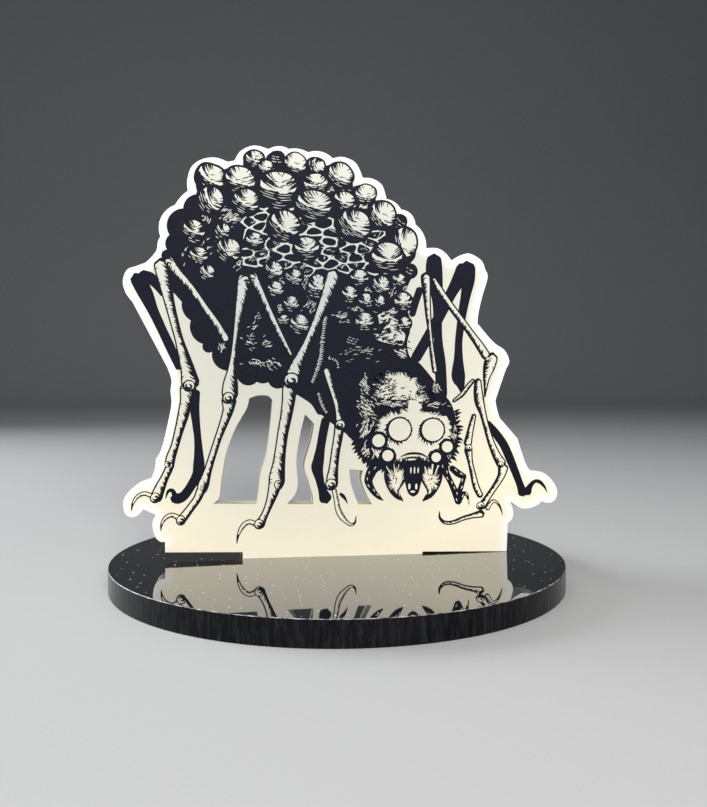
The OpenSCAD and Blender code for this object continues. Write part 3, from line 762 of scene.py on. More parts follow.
def make_near_leg(number):
    art = Print(f"near_leg_{number}", 100 + number)
    for path, shade in NEAR_LEGS[number]:
        wide = max(p[2] for p in path)
        limb(art, path, shade, claw=path[-1][2] < 0.1 and wide < 0.45)
        u, v, w = path[0]
        if wide == w and w > 0.75 and v > 30:
            swirl(art, u, v - 0.1, 0.62 * w, -10, 175, 0.3 * w, LEG_MARK)
            swirl(art, u + 0.1, v - 0.5, 0.4 * w, 20, 130, 0.26 * w, LEG_MARK)
    for u, v, r, turn in KNOBS[number]:
        knob(art, u, v, r, turn)
    if number == 4:
        spur = [(-0.1, 7.9, 0.15), (0.3, 7.6, 0.25), (0.7, 7.1, 0.15), (0.97, 6.5, 0.03)]
        art.line(spur, LEG_MARK)
    art.finish()


for leg in NEAR_LEGS:
    make_near_leg(leg)


# ---------------------------------------------------------------- far legs

FAR_LEGS = {
    1: [[(-26.9, 35.5, 0.95), (-25.9, 33.7, 0.95), (-24.9, 31.5, 0.68), (-23.7, 29, 0.6),
         (-22.5, 26.5, 0.6), (-21.6, 24.3, 0.4)],
        [(-26.2, 36.2, 0.55), (-25.3, 35.7, 0.75), (-24.5, 34.9, 0.6), (-23.8, 33.7, 0.3)],
        [(-19.2, 21, 0.45), (-19.4, 19, 0.6), (-19.2, 17, 0.52), (-18.95, 15, 0.48),
         (-18.8, 13, 0.6), (-18.75, 11.6, 0.75), (-18.9, 10.3, 0.7), (-19.7, 8.8, 0.6),
         (-20.6, 7.5, 0.62), (-21.4, 7.1, 0.7), (-21.8, 7.1, 0.6)],
        [(-21.8, 7.5, 0.35), (-22.1, 8.15, 0.28), (-22.65, 8.05, 0.2), (-22.95, 7.1, 0.05)]],
    2: [[(-2.2, 17.6, 0.6), (-2.5, 16, 0.6), (-2.8, 14, 0.6), (-3.05, 12.3, 0.75),
         (-3.2, 11.3, 0.8), (-2.9, 10, 0.6), (-2.5, 8.5, 0.55), (-2.05, 7.3, 0.85)]],
    3: [[(12, 39.4, 1.05), (12.05, 38, 1.15), (12.35, 36, 0.95), (12.6, 33.5, 0.65),
         (12.7, 31, 0.6), (12.85, 28.5, 0.62), (13.2, 25.5, 0.78), (13.5, 21.5, 0.78)]],
    4: [[(16.6, 38.5, 1.15), (16.75, 37, 0.95), (16.5, 35, 0.7), (16.1, 32.6, 0.6),
         (15.7, 29, 0.52), (15.7, 26.5, 0.62), (15.75, 24, 0.95), (16.1, 22.8, 0.6),
         (16.2, 22.1, 0.3)],
        [(16.1, 38.3, 1.1), (15.3, 36.7, 0.9), (14.4, 35, 0.75), (13.2, 32.6, 0.75),
         (12, 30.2, 0.72), (9.9, 26.4, 0.72)],
        [(10.1, 35.4, 0.5), (9.6, 33.8, 0.5), (9.2, 32.2, 0.45)]],
    5: [[(20.2, 17.8, 0.2), (21.1, 16.4, 0.55), (22.3, 14.8, 0.6), (23.2, 13, 0.6),
         (24, 11.2, 0.55), (24.8, 9.3, 0.52), (25.2, 8.2, 0.65)],
        [(25.9, 8.3, 0.6), (26.3, 9.1, 0.36), (26.9, 9.7, 0.26), (27.6, 9.65, 0.26),
         (28.3, 9, 0.17), (28.7, 8.25, 0.05)]]}


def make_far_leg(number):
    art = Print(f"far_leg_{number}", 200 + number)
    for k, path in enumerate(FAR_LEGS[number]):
        art.shape(rounded(curve(path, 0.2)), FILL - 0.0008 * (k + 1))
    art.finish()


for leg in FAR_LEGS:
    make_far_leg(leg)


# ---------------------------------------------------------------- egg mass

MASS_EDGE = [
    [(-23.5, 40.5), (-23, 41.4)],
    [(-23.1, 43.7), (-21.3, 44.9)],
    [(-20.7, 46.3), (-19.5, 46.8)],
    [(-19.75, 48.6), (-18.7, 50.5), (-17.4, 50.8), (-16.1, 50.2)],
    [(-14.9, 50.6), (-13.7, 50.7)],
    [(-13.6, 52), (-12.3, 52.6), (-10.8, 51.9)],
    [(-9.3, 52.85), (-8.2, 52.1)],
    [(-6.9, 52.6), (-5.6, 51.7)],
    [(-4.3, 52.35), (-3.1, 51.3)],
    [(-1.1, 51.75), (0.5, 50.8), (0.8, 48.8)],
    [(2.5, 49.2), (3.7, 48.3), (3.9, 46.8)],
    [(5.4, 46.4), (6.4, 45.2)],
    [(7.2, 45.4), (7.8, 44.2)],
    [(9.1, 43), (9.5, 40.2), (8.8, 39)],
    [(9.35, 38), (8.9, 36.8)],
    [(8.45, 35.2), (8.9, 33.8)],
    [(8.6, 32.6), (9, 31.2), (8.9, 29.5)],
    [(8.6, 27.8), (9.4, 25.9)],
    [(7.5, 25.6), (4, 25.1), (2.4, 23.5)],
    [(1.6, 20), (1.9, 15)],
    [(1.2, 15.3), (0.6, 15.9)],
    [(-1, 17), (-2.8, 18.4)],
    [(-3.3, 18.5), (-4.2, 19.8), (-5.8, 20.85)],
    [(-8.1, 21.9)],
    [(-9, 21.8), (-9.9, 22.6)],
    [(-10.7, 22.4), (-11.4, 22.6)],
    [(-12.6, 22.1), (-13.9, 22.9)],
    [(-15.5, 24)],
    [(-16.8, 24.7), (-17.3, 26.4)],
    [(-18.1, 26.35), (-18.5, 27.4)],
    [(-19.9, 28.5), (-20.1, 30.4)],
    [(-21, 31.3), (-21.3, 32.8)],
    [(-22.4, 34)],
    [(-23.1, 36), (-24, 38.8), (-23.3, 39.5)]]

# Eggs from back to front: across, up, radius, upright stretch, way to the light, shadow
EGGS = [
    (-12.3, 51.7, 1.35, 0.85, 75, 0.75), (-9.3, 52, 0.95, 0.9, 70, 1.25),
    (-6.9, 51.5, 1.5, 0.9, 75, 0.35), (-4.2, 51.3, 1.2, 0.9, 20, 0.7),
    (-10.7, 50.7, 1.15, 0.85, 80, 0.6), (-17.9, 49, 1.95, 1.0, 65, 0.7),
    (-1, 50.2, 1.8, 0.95, 50, 0.55), (-14.1, 48.9, 2.1, 0.9, 75, 0.6),
    (-4.15, 48.9, 1.75, 0.85, 85, 0.75), (2.5, 47.9, 1.4, 0.95, 70, 0.4),
    (-0.4, 46.9, 1.55, 0.8, 60, 0.65), (-17.9, 46.1, 1.75, 1.15, 40, 0.8),
    (-9.1, 47.9, 2.75, 0.98, 70, 0.85), (7.1, 44.4, 0.95, 1.0, 60, 1.25),
    (-19.95, 42, 1.6, 1.0, 60, 0.85), (4.8, 45.2, 1.95, 0.98, 60, 0.55),
    (-13.3, 46.1, 1.9, 0.95, 75, 0.7), (7.9, 41.7, 1.8, 1.15, 30, 0.55),
    (-16.3, 42.1, 1.15, 1.05, 60, 0.95), (-4.4, 46.1, 2.55, 0.85, 85, 0.75),
    (1, 43.7, 2.45, 0.9, 60, 0.8), (-8.3, 43.2, 2.25, 0.95, 70, 0.7),
    (-19.3, 38.8, 1.35, 0.95, 60, 0.85), (-15.5, 39.6, 1.75, 1.05, 55, 0.75),
    (-12.05, 41.1, 1.3, 0.85, 80, 0.75), (-5.2, 40.3, 1.8, 0.95, 75, 0.8),
    (-18.2, 36.7, 1.15, 0.95, 60, 0.9), (5.6, 39.5, 2.35, 0.98, 75, 0.75),
    (-9.6, 37.3, 1.4, 0.9, 75, 0.8), (-6.85, 36.5, 1.3, 0.9, 75, 0.85),
    (-3.7, 35.3, 1.35, 1.35, 70, 0.8), (1.9, 36.7, 1.35, 0.9, 75, 0.75),
    (7.2, 36.7, 1.05, 0.85, 60, 0.8), (8.8, 37.9, 0.85, 1.0, 60, 1.2),
    (4.8, 35.9, 1.4, 0.9, 75, 0.75), (-9.2, 34.8, 1.15, 1.0, 70, 0.7),
    (-7.1, 33, 1.15, 0.95, 75, 0.75), (0.6, 34.5, 1.15, 1.05, 70, 0.75),
    (7.9, 33.8, 1.3, 1.0, 75, 0.7), (2.9, 33.7, 1.1, 0.95, 75, 0.75),
    (4.7, 33.7, 0.85, 1.0, 75, 0.8), (-8.1, 30.9, 0.85, 0.8, 75, 0.8),
    (-6, 30.3, 1.45, 0.95, 75, 0.75), (2.7, 30.9, 1.4, 0.95, 80, 0.7),
    (8.2, 30.9, 0.9, 1.0, 80, 0.7), (1.25, 28.5, 1.05, 0.8, 80, 1.15)]


def egg_levels():
    """How many eggs lie under each egg, counting only those that it overlaps."""
    levels = []
    for i, (u, v, r, *_) in enumerate(EGGS):
        under = [levels[j] + 1 for j in range(i)
                 if math.hypot(u - EGGS[j][0], v - EGGS[j][1]) < r + EGGS[j][2] + 0.5]
        levels.append(max(under, default=0))
    return levels


class Ball:
    """An uneven ball: x runs across it and y towards the light, both from -1 to 1."""

    def __init__(self, rng, u, v, r, stretch, light):
        self.axis = way_out(light + rng.uniform(-18, 18))
        self.across = np.array([self.axis[1], -self.axis[0]])
        self.middle, self.size = np.array([u, v]), r * np.array([1, stretch])
        self.lumps = [(n, rng.uniform(0.008, 0.05) / n * 2, rng.uniform(0, 6)) for n in (2, 3, 5)]

    def at(self, x, y):
        """The point of the face at x, y on the ball."""
        way = self.across * x + self.axis * y
        a = math.atan2(way[1], way[0])
        f = 1 + sum(size * math.sin(n * a + phase) for n, size, phase in self.lumps)
        return self.middle + way * self.size * f


def ridge(c, x):
    """The height on a ball of a line that sags away from the light, from c at the rims."""
    return c - 0.42 * math.sqrt(max(0.0, 1 - x * x))


def make_egg(art, u, v, r, stretch, light, shadow, level):
    """An egg: a black ball, a lit part with curved pen strokes from both rims, and thin light
    streaks round its dark part. A shadow over 1.1 is a dark egg with streaks only."""
    low = EGG_LOW + EGG_STEP * level
    ball = Ball(art.rng, u, v, r, stretch, light)
    grown = 1 + (0.10 + 0.06 * shadow) / r
    turns = [k * math.pi / 20 for k in range(40)]
    art.shape([ball.at(grown * math.cos(t), grown * math.sin(t)) for t in turns], low)
    dim = shadow > 1.1
    edge = 0.62 * shadow - 0.22
    if not dim:
        light_egg(art, ball, edge, shadow, low + 0.0014)
        shade_egg(art, ball, r, edge, shadow, low + 0.0028)
    streak_egg(art, ball, r, 0.6 if dim else edge - 0.13, dim, low + 0.0014)


def light_egg(art, ball, edge, shadow, height):
    """The lit part of an egg, down to a ragged edge."""
    rim = 0.97 - 0.09 * shadow
    first = math.asin(max(-0.95, min(0.95, edge)))
    turns = [first + (math.pi - 2 * first) * k / 24 for k in range(25)]
    lit = [ball.at(rim * math.cos(t), rim * math.sin(t)) for t in turns]
    wide = rim * math.cos(first)
    for k in range(15):
        x = wide * (-0.96 + 1.92 * k / 14)
        lit.append(ball.at(x, ridge(edge, x) + art.rng.uniform(-0.07, 0.05)))
    art.shape(lit, height, LIGHT)


def shade_egg(art, ball, r, edge, shadow, height):
    """Curved pen strokes from both rims, shorter towards the light, and a few loose ones."""
    rng = art.rng
    rows = round((3.5 + 3.2 * r) * min(1.0, 0.35 + shadow))
    for k in range(rows):
        y = edge + (0.98 - edge) * (k / rows) ** 1.15 + rng.uniform(-0.05, 0.05)
        fade = 1 - k / rows
        for side in (-1, 1):
            if side > 0 and rng.random() < 0.25:
                continue
            long = (0.18 + 1.15 * fade * shadow) * rng.uniform(0.45, 1.15)
            long *= 1.0 if side < 0 else 0.62
            first = math.sqrt(max(0.0, 0.93 - min(0.9, y * y)))
            path = []
            for f, w in ((0, 0.6), (0.3, 0.55), (0.65, 0.36), (1, 0.05)):
                x = side * (first - long * f)
                p = ball.at(x, ridge(y + 0.12, x) + 0.22 * (1 - f))
                path.append((p[0], p[1], w * (0.11 + 0.17 * shadow * fade)))
            art.band(path, height)
    for k in range(round(1 + 2.2 * r * shadow)):
        x, y = rng.uniform(-0.6, 0.4), edge + rng.uniform(0.05, 0.5)
        end = x + rng.uniform(0.2, 0.5)
        a, b = ball.at(x, ridge(y, x)), ball.at(end, ridge(y, end) + 0.12)
        art.stroke(a, b, 0.09 + 0.09 * shadow, height, BLACK, 0.12)


def streak_egg(art, ball, r, c, dim, height):
    """Thin light streaks round the dark part of an egg, from c downwards."""
    rng = art.rng
    while c > -0.50:
        x = rng.uniform(-0.95, -0.6)
        while x < 0.6:
            long = rng.uniform(0.2, 0.7)
            y, end = ridge(c, x + long / 2), x + long
            if math.hypot(x, y) < 0.93 and math.hypot(end, ridge(c, end)) < 0.93:
                path = []
                for f, w in ((0, 0.1), (0.3, 0.5), (0.7, 0.45), (1, 0.05)):
                    p = ball.at(x + long * f, ridge(c, x + long * f))
                    path.append((p[0], p[1], w * rng.uniform(0.05, 0.11)))
                art.band(path, height, LIGHT)
            x += long + rng.uniform(0.03, 0.5 if dim else 0.3)
        c -= rng.uniform(0.24, 0.36) / r * (1.3 if dim else 1.0)


# The region between the eggs where a net of light strands runs
NET = [(-12.6, 38.2), (-13.9, 41), (-13.2, 43.3), (-11.6, 44.2), (-11.2, 47), (-10.2, 47),
        (-9.6, 45.6), (-7.4, 46), (-5.6, 44.6), (-2.2, 45.2), (-0.6, 42), (2.6, 42.4), (4.2, 42.6),
        (4.3, 37.4), (0.2, 37.6), (-2.6, 37.8), (-5.2, 37.2), (-7.6, 37.4), (-9.2, 38.8),
        (-10.8, 38)]

# Patches of small light strokes in the shadows: middle, spread, count, the way they run
PATCHES = [
    (-6.6, 46.6, 0.5, 0.5, 10, 60), (-15.8, 44, 0.8, 0.5, 22, 30), (-14.6, 43.9, 1.6, 0.8, 34, 25),
    (-11.6, 47.6, 0.5, 1.0, 14, 80), (-2, 48.2, 1.6, 0.3, 14, 10), (2.2, 46.2, 0.9, 0.4, 14, 20),
    (7, 42.9, 0.6, 0.5, 14, 50), (-4.9, 32.8, 0.8, 1.0, 16, 50), (-18.4, 43.6, 0.7, 0.6, 12, 60),
    (-17.9, 40, 1.0, 0.8, 14, 50), (-13.9, 37.9, 0.7, 0.8, 10, 40), (-8.2, 35.9, 0.8, 0.5, 14, 15),
    (-5.1, 35.6, 0.5, 1.3, 18, 75), (-8.7, 32.4, 0.6, 0.6, 12, 10), (3.3, 35, 1.2, 0.4, 16, 20),
    (6.3, 35, 0.4, 0.8, 12, 70), (1.8, 32.6, 1.3, 0.3, 16, 10), (6.4, 32.4, 0.9, 0.4, 18, 20),
    (-4.1, 32.6, 0.5, 0.9, 12, 60), (-0.6, 31.4, 0.8, 0.6, 22, 10), (5.2, 30, 0.9, 0.8, 10, 15),
    (-12, 30.4, 0.6, 1.4, 14, 40), (-11.4, 25.2, 1.5, 0.4, 26, -25),
    (-12.6, 27.6, 0.7, 0.8, 14, -20), (-10.4, 27.8, 0.8, 0.8, 12, 20), (-9.4, 25, 1, 0.6, 12, -30),
    (-15.9, 27, 0.4, 0.5, 12, 100), (-16.4, 44.9, 0.8, 0.3, 10, 20), (-21, 38.6, 0.5, 0.8, 6, 60),
    (8.1, 35.6, 0.4, 0.5, 10, 60)]


def net(art, region, spread_u, spread_v, low):
    """A net of light strands over a region: black cells with round corners leave them bare."""
    rng = art.rng
    edge = outline([region[1:] + region[:1]], 0.4)
    seeds = scattered(rng, edge, spread_u, spread_v)
    scale = np.array([1 / spread_u, 1 / spread_v])
    for seed in seeds:
        cell = [seed + np.array([x * 2.2 * spread_u, y * 2.2 * spread_v])
                for x, y in ((-1, -1), (1, -1), (1, 1), (-1, 1))]
        whole, gap = cell, rng.uniform(0.06, 0.12)
        for other in seeds:
            d = (other - seed) * scale * scale
            away = np.linalg.norm((other - seed) * scale)
            if 0 < away < 3:
                middle, way = (seed + other) / 2, d / np.linalg.norm(d)
                cell = clipped(cell, middle - way * gap, way)
                whole = clipped(whole, middle + way * 0.09, way)
        if len(cell) < 3 or not inside(np.array([seed]), edge)[0]:
            continue
        art.shape(whole, low, LIGHT)
        for _ in range(2):
            cell = [q for p, n in zip(cell, cell[1:] + cell[:1])
                    for q in (p * 0.75 + n * 0.25, p * 0.25 + n * 0.75)]
        art.shape(cell, low + 0.003)
        if rng.random() < 0.55:
            patches(art, LIGHT, low + 0.005,
                    [(*seed, spread_u / 4, spread_v / 4, 4, rng.uniform(-30, 80), 0.5, 0.08)])


def scattered(rng, edge, spread_u, spread_v):
    """Uneven rows of points, every other row moved by half a step, over the box round edge."""
    us, vs = [p[0] for p in edge], [p[1] for p in edge]
    seeds = []
    for row in range(int((max(vs) - min(vs)) / spread_v) + 3):
        for column in range(int((max(us) - min(us)) / spread_u) + 3):
            u = min(us) + spread_u * (column - 1 + row % 2 / 2 + rng.uniform(-0.36, 0.36))
            seeds.append(np.array([u, min(vs) + spread_v * (row - 1 + rng.uniform(-0.36, 0.36))]))
    return seeds


def clipped(points, at, out):
    """A convex outline cut off by the line through at that faces out."""
    kept = []
    for p, n in zip(points, points[1:] + points[:1]):
        a, b = (p - at).dot(out), (n - at).dot(out)
        if a <= 0:
            kept.append(p)
        if (a < 0 < b) or (b < 0 < a):
            kept.append(p + (n - p) * a / (a - b))
    return kept


def patches(art, tone, height, rows):
    """Small strokes scattered round places, each row one place: its middle, the spread of the
    strokes across and up, their count, the way they run in degrees, and their length and width."""
    for u, v, spread_u, spread_v, count, way, long, wide in rows:
        for _ in range(count):
            a = np.array([u + art.rng.gauss(0, 0.6) * spread_u,
                          v + art.rng.gauss(0, 0.6) * spread_v])
            out = way_out(way + art.rng.uniform(-25, 25))
            b = a + long * art.rng.uniform(0.5, 1.3) * out
            width, bow = wide * art.rng.uniform(0.6, 1.3), art.rng.uniform(-0.15, 0.15)
            art.stroke(a, b, width, height, tone, bow)


def make_mass():
    art = Print("egg_mass", 11)
    art.shape(outline(MASS_EDGE, 0.3), FILL)
    patches(art, LIGHT, BACK_HATCH, [(*row, 0.5, 0.11) for row in PATCHES])
    net(art, NET, 2.0, 1.15, BACK_HATCH)
    for egg, level in zip(EGGS, egg_levels()):
        make_egg(art, *egg, level)
    art.finish()


# Short light ticks across a path show a dim rounded edge: the path and half their length
TICKS = [([(-2.5, 31.4), (-2.8, 28.5), (-3, 26), (-3.5, 24.2), (-4.1, 22.6)], 0.3),
         ([(-3.2, 21.2), (-2.9, 20.2), (-2.4, 19.2), (-2, 18.6)], 0.22),
         ([(-1.9, 26), (-0.9, 25.6), (-0.6, 24.6)], 0.15)]


def make_thorax():
    art = Print("thorax", 12)
    rng = art.rng
    for path, half in TICKS:
        fine = curve(path, 0.24)
        for i, p in enumerate(fine[:-1]):
            across = normal_at(fine, i)
            w = half * rng.uniform(0.6, 1.15)
            slip = np.array([0, rng.uniform(-0.08, 0.12)])
            art.stroke(p[:2] - across * w, p[:2] + across * w + slip, 0.15, STRAND, LIGHT)
    # a worn light patch behind the head
    art.shape(outline([[(5.4, 32.2), (6.4, 31.7), (7.4, 31.2)],
                       [(7.7, 30.2), (8.3, 29.3), (8, 28)],
                       [(7, 27.9), (5.4, 28.3)],
                       [(4.3, 28.8), (4.8, 30.2), (4.5, 31.9)]]), EGG_LOW, LIGHT)
    patches(art, BLACK, EGG_LOW + 0.003, [(5.2, 29.9, 0.9, 1.6, 60, 20, 0.8, 0.24),
                                          (7, 30.2, 0.9, 1.5, 50, -20, 0.6, 0.17),
                                          (6.6, 28, 1.2, 0.4, 26, 0, 0.8, 0.26)])
    patches(art, LIGHT, STRAND, [(7.6, 27, 0.8, 0.5, 26, -30, 0.5, 0.11),
                                 (3.2, 27.2, 1.2, 0.9, 20, 10, 0.5, 0.08),
                                 (0.6, 26.6, 1.0, 0.9, 12, 10, 0.5, 0.07)])
    art.finish()


make_mass()
make_thorax()


# ---------------------------------------------------------------- head

EYES = [(7.85, 16.6, 1.5), (12.4, 16.6, 1.5), (5, 15.05, 0.85), (14.45, 14.35, 0.75),
        (6.3, 13.05, 0.75), (12.95, 12.9, 0.65)]


SKIN, FUR, FLECK = EGG_LOW, EGG_LOW + 0.004, EGG_LOW + 0.008

HEAD_EDGE = [
    [(1.2, 17), (1.2, 20), (1.6, 23.4)],
    [(3, 25.8), (7, 26.6), (9.7, 26.1), (12, 23.8)],
    [(13.4, 22), (14.8, 20.3), (15.4, 18.8)],
    [(15.9, 16.4), (15.8, 14), (14.6, 12.2)],
    [(11.6, 11.2), (8, 11.2), (5, 11.8)],
    [(3, 12.8), (1.6, 15)]]

FACE = [
    # dome
    [(4.3, 23.4), (5.8, 24.4), (7.6, 24.6), (9.4, 24), (11.2, 22.7)],
    [(12.2, 21.6), (12.6, 20.6)],
    [(11.8, 20.4), (10.7, 20.1)],
    # a narrow bridge, and the face round the eyes
    [(10.9, 19.3)],
    [(12, 19.3), (14, 18.8)],
    [(14.9, 17.4), (15, 15.6), (14.7, 13.4)],
    [(13, 12.2), (10.2, 12.5), (7, 12.1), (5, 12.6)],
    [(4, 14.2), (4.1, 16.2), (4.6, 17.8)],
    [(5.6, 18.8), (7.4, 19.5), (8.9, 19.4)],
    [(9, 20.3)],
    [(7, 20.4), (4.8, 20.6), (3.7, 22)]]

# Tufts of fur: a path, the way it points in degrees, its spread, length, count and width
DOME_FUR = [([(3.5, 21), (3.6, 22.7), (4.8, 24)], -15, 35, 1.7, 80, 0.26),
            ([(4.4, 24), (6.8, 24.8), (9, 24.3)], -50, 35, 1.0, 80, 0.22),
            ([(9, 24.4), (11.2, 22.9), (12.4, 21.5)], -140, 35, 1.0, 70, 0.22),
            ([(12, 22), (12.8, 20.6)], 175, 30, 1.7, 50, 0.24),
            ([(3.6, 20.8), (5.4, 20.4), (8.4, 20.2)], 35, 30, 0.8, 70, 0.24),
            ([(4.2, 19.4), (5.6, 19.6), (8, 19.7)], -30, 20, 1.1, 60, 0.26),
            ([(13, 20.8), (12, 20.4), (11, 20.1)], 150, 30, 0.8, 40, 0.22),
            ([(14.4, 18.8), (12.2, 19.4), (11.1, 19.5)], 205, 20, 0.9, 60, 0.24)]
CHEEK_FUR = [([(4.2, 18.4), (3.9, 16.2), (4, 14.2)], 10, 50, 1.2, 80, 0.26),
             ([(4.4, 18), (5.6, 19), (7.4, 19.5)], -40, 40, 1.0, 60, 0.24),
             ([(15.2, 18.6), (15.4, 16), (14.9, 13.2)], 180, 45, 0.9, 80, 0.24),
             ([(5, 12.4), (7, 12), (9, 12.1)], 60, 40, 0.8, 70, 0.24),
             ([(10.6, 12.3), (12.6, 12), (14.4, 13)], 110, 40, 0.8, 70, 0.24)]

# Patches of short hairs and of light flecks, in rows as for patches()
DOME_HAIRS = [(6, 22.4, 1.5, 0.9, 50, 25, 0.6, 0.17), (10.6, 22, 1.3, 0.8, 40, -30, 0.6, 0.17),
              (8.2, 21, 2, 0.3, 24, 5, 0.6, 0.15)]
CHEEK_HAIRS = [(5.6, 14, 0.4, 0.5, 16, -60, 0.6, 0.2), (13.9, 13.4, 0.4, 0.4, 14, 60, 0.5, 0.2)]
BROW_FLECKS = [(6.4, 20.1, 1.8, 0.35, 30, -8, 0.7, 0.1), (12.4, 20, 1.1, 0.3, 20, 12, 0.6, 0.1)]
RIM_FLECKS = [(3.2, 19.4, 1.0, 1.3, 60, -35, 0.55, 0.11), (2.8, 22.4, 0.6, 1.1, 36, -50, 0.5, 0.1),
              (3.2, 16.8, 0.8, 1.4, 46, -120, 0.6, 0.12),
              (3.4, 13.8, 0.7, 0.7, 28, -110, 0.5, 0.12),
              (15.4, 16.6, 0.4, 1.4, 26, -60, 0.45, 0.1), (15, 13.6, 0.5, 0.6, 14, -60, 0.45, 0.1),
              (12.6, 22.6, 0.5, 0.7, 16, -50, 0.5, 0.1)]


def tufts(art, rows):
    """Fur that starts along paths."""
    rng = art.rng
    for path, way, spread, length, count, width in rows:
        fine = curve(path, 0.1)
        for _ in range(count):
            p = fine[rng.randrange(len(fine))][:2]
            out = way_out(way + rng.uniform(-spread, spread))
            b = p + length * rng.uniform(0.45, 1.15) * out
            art.stroke(p, b, width * rng.uniform(0.6, 1.25), FUR, BLACK, rng.uniform(-0.14, 0.14))


def spikes(art, path, way_start, way_end, length, width, step):
    """A row of coarse spikes along path. Their way turns evenly from way_start to way_end."""
    fine = curve(path, step)
    for i, p in enumerate(fine):
        f = i / (len(fine) - 1)
        out = way_out(way_start + (way_end - way_start) * f + art.rng.uniform(-14, 14))
        b = p[:2] + length * art.rng.uniform(0.7, 1.2) * out
        art.stroke(p[:2], b, width * art.rng.uniform(0.8, 1.2), LEG_LINE - 0.002, BLACK, 0.08)


def lashes(art):
    """Curved strokes out from every eye, longest below and to the left of it."""
    for u, v, r in EYES:
        count = round(24 * r)
        for k in range(count):
            a = 2 * math.pi * k / count + art.rng.uniform(-0.1, 0.1)
            out = np.array([math.cos(a), math.sin(a)])
            near = 0.15 + 0.7 * max(0.0, -0.75 * out[0] - 0.45 * out[1]) ** 1.5
            spin = np.array([-out[1], out[0]]) * 0.8
            start = np.array([u, v]) + out * (r + 0.12)
            art.stroke(start, start + (out + spin) * near * art.rng.uniform(0.7, 1.3), 0.24, FUR)


def make_head():
    art = Print("head", 21)
    art.shape(outline(HEAD_EDGE), FILL + 0.001)
    art.shape(outline(FACE), SKIN, LIGHT)
    tufts(art, DOME_FUR)
    patches(art, BLACK, FUR, DOME_HAIRS)
    patches(art, LIGHT, FLECK, BROW_FLECKS)
    tufts(art, CHEEK_FUR)
    patches(art, BLACK, FUR, CHEEK_HAIRS)
    lashes(art)
    patches(art, LIGHT, FLECK, RIM_FLECKS)
    left = [(2, 16.8), (2, 14.8), (2.8, 13.2), (4.4, 12), (5.8, 11.8)]
    spikes(art, left, 200, 262, 1.0, 0.6, 0.42)
    right = [(15.4, 19), (15.7, 17), (15.6, 15), (15, 13), (14.2, 12.2)]
    spikes(art, right, 45, -50, 0.9, 0.5, 0.5)
    art.finish()


def make_eyes():
    """Each eye is a light disc in a black ring. The small ones have a ragged edge."""
    art = Print("eyes", 22)
    for u, v, r in EYES:
        if r < 1:
            art.oval(u, v, r + 0.45, r + 0.42, 0, LEG_LINE - 0.006, BLACK, 40, 0.09)
        else:
            art.oval(u - 0.16, v - 0.06, r + 0.24, r + 0.2, 0, LEG_LINE - 0.006, BLACK, 48, 0.015)
        art.oval(u, v, r + 0.2, r + 0.2, 0, LEG_LINE - 0.003, BLACK, 48)
        art.oval(u, v, r, r, 0, LEG_LINE, LIGHT, 48)
    art.finish()


# The left fang's outline from its root round its tip; the right one mirrors it
FANG = [[(5.85, 10.4), (6.1, 9.2), (6.7, 8.1), (7.5, 7.3), (8.5, 6.9)],
        [(7.95, 7.5), (7.9, 8.2), (8.35, 9), (8.85, 10), (8.8, 11.6)],
        [(7.6, 12.2), (6, 11.9)]]


# The feelers beside the jaws
FEELERS = [[(4.6, 11.9, 0.5), (4.1, 10.8, 0.55), (3.75, 9.6, 0.45), (4.3, 8.4, 0.35),
            (5.1, 7.5, 0.24), (5.8, 7, 0.05)],
           [(14, 12.2, 0.55), (14.3, 10.9, 0.4), (14.9, 9.8, 0.32), (15.5, 8.6, 0.36),
            (16, 7.5, 0.42), (16.2, 6.9, 0.4)],
           [(15.2, 11.4, 0.35), (16.1, 10.7, 0.4), (16.9, 10.3, 0.3)],
           [(16.9, 10.3, 0.26), (16.6, 9.2, 0.28), (16.2, 8, 0.35)],
           [(16.4, 7.2, 0.3), (16.9, 8, 0.24), (17.4, 7.7, 0.18), (17.7, 6.5, 0.04)]]


def fang(art, side):
    """A fang: the left one for side 1, and its mirror image for side -1."""
    rng = art.rng
    axis = 9.87
    edge = outline([[(axis + side * (u - axis), v) for u, v in run] for run in FANG], 0.15)
    art.shape(edge, LEG_LINE)
    centre = np.array([axis + side * (7.35 - axis), 9.9])
    light = []
    for p in edge:
        d = np.array(p) - centre
        pull = 1 - 0.27 / np.linalg.norm(d)
        light.append(tuple(centre + d * (pull if p[1] > 7.9 else pull * 0.8)))
    art.shape(light, LEG_LIGHT, LIGHT)
    for p in edge:
        if rng.random() < 0.8:
            d = centre - np.array(p)
            reach = rng.uniform(0.25, 0.6) * (1.3 if (p[0] - centre[0]) * side < 0 else 0.8)
            droop = np.array([0, -0.25])
            art.stroke(p, np.array(p) + d * reach + droop, 0.2, LEG_MARK)
    patches(art, BLACK, LEG_MARK, [(centre[0], 10.2, 0.5, 0.8, 16, 80, 0.3, 0.13)])


def feeler(art, path):
    """A dark feeler with a dashed light line."""
    fine = [p * np.array([1, 1, 1.22]) for p in curve(path, 0.14)]
    art.shape(rounded(fine), LEG_LINE)
    for i in range(3, len(fine) - 4, 6):
        across = normal_at(fine, i) * fine[i][2] * 0.4 * art.rng.choice((-1, 1, 1))
        a = fine[i][:2] + across
        b = fine[min(i + 3, len(fine) - 1)][:2] + across * 0.7
        art.stroke(a, b, 0.14, LEG_LIGHT, LIGHT)


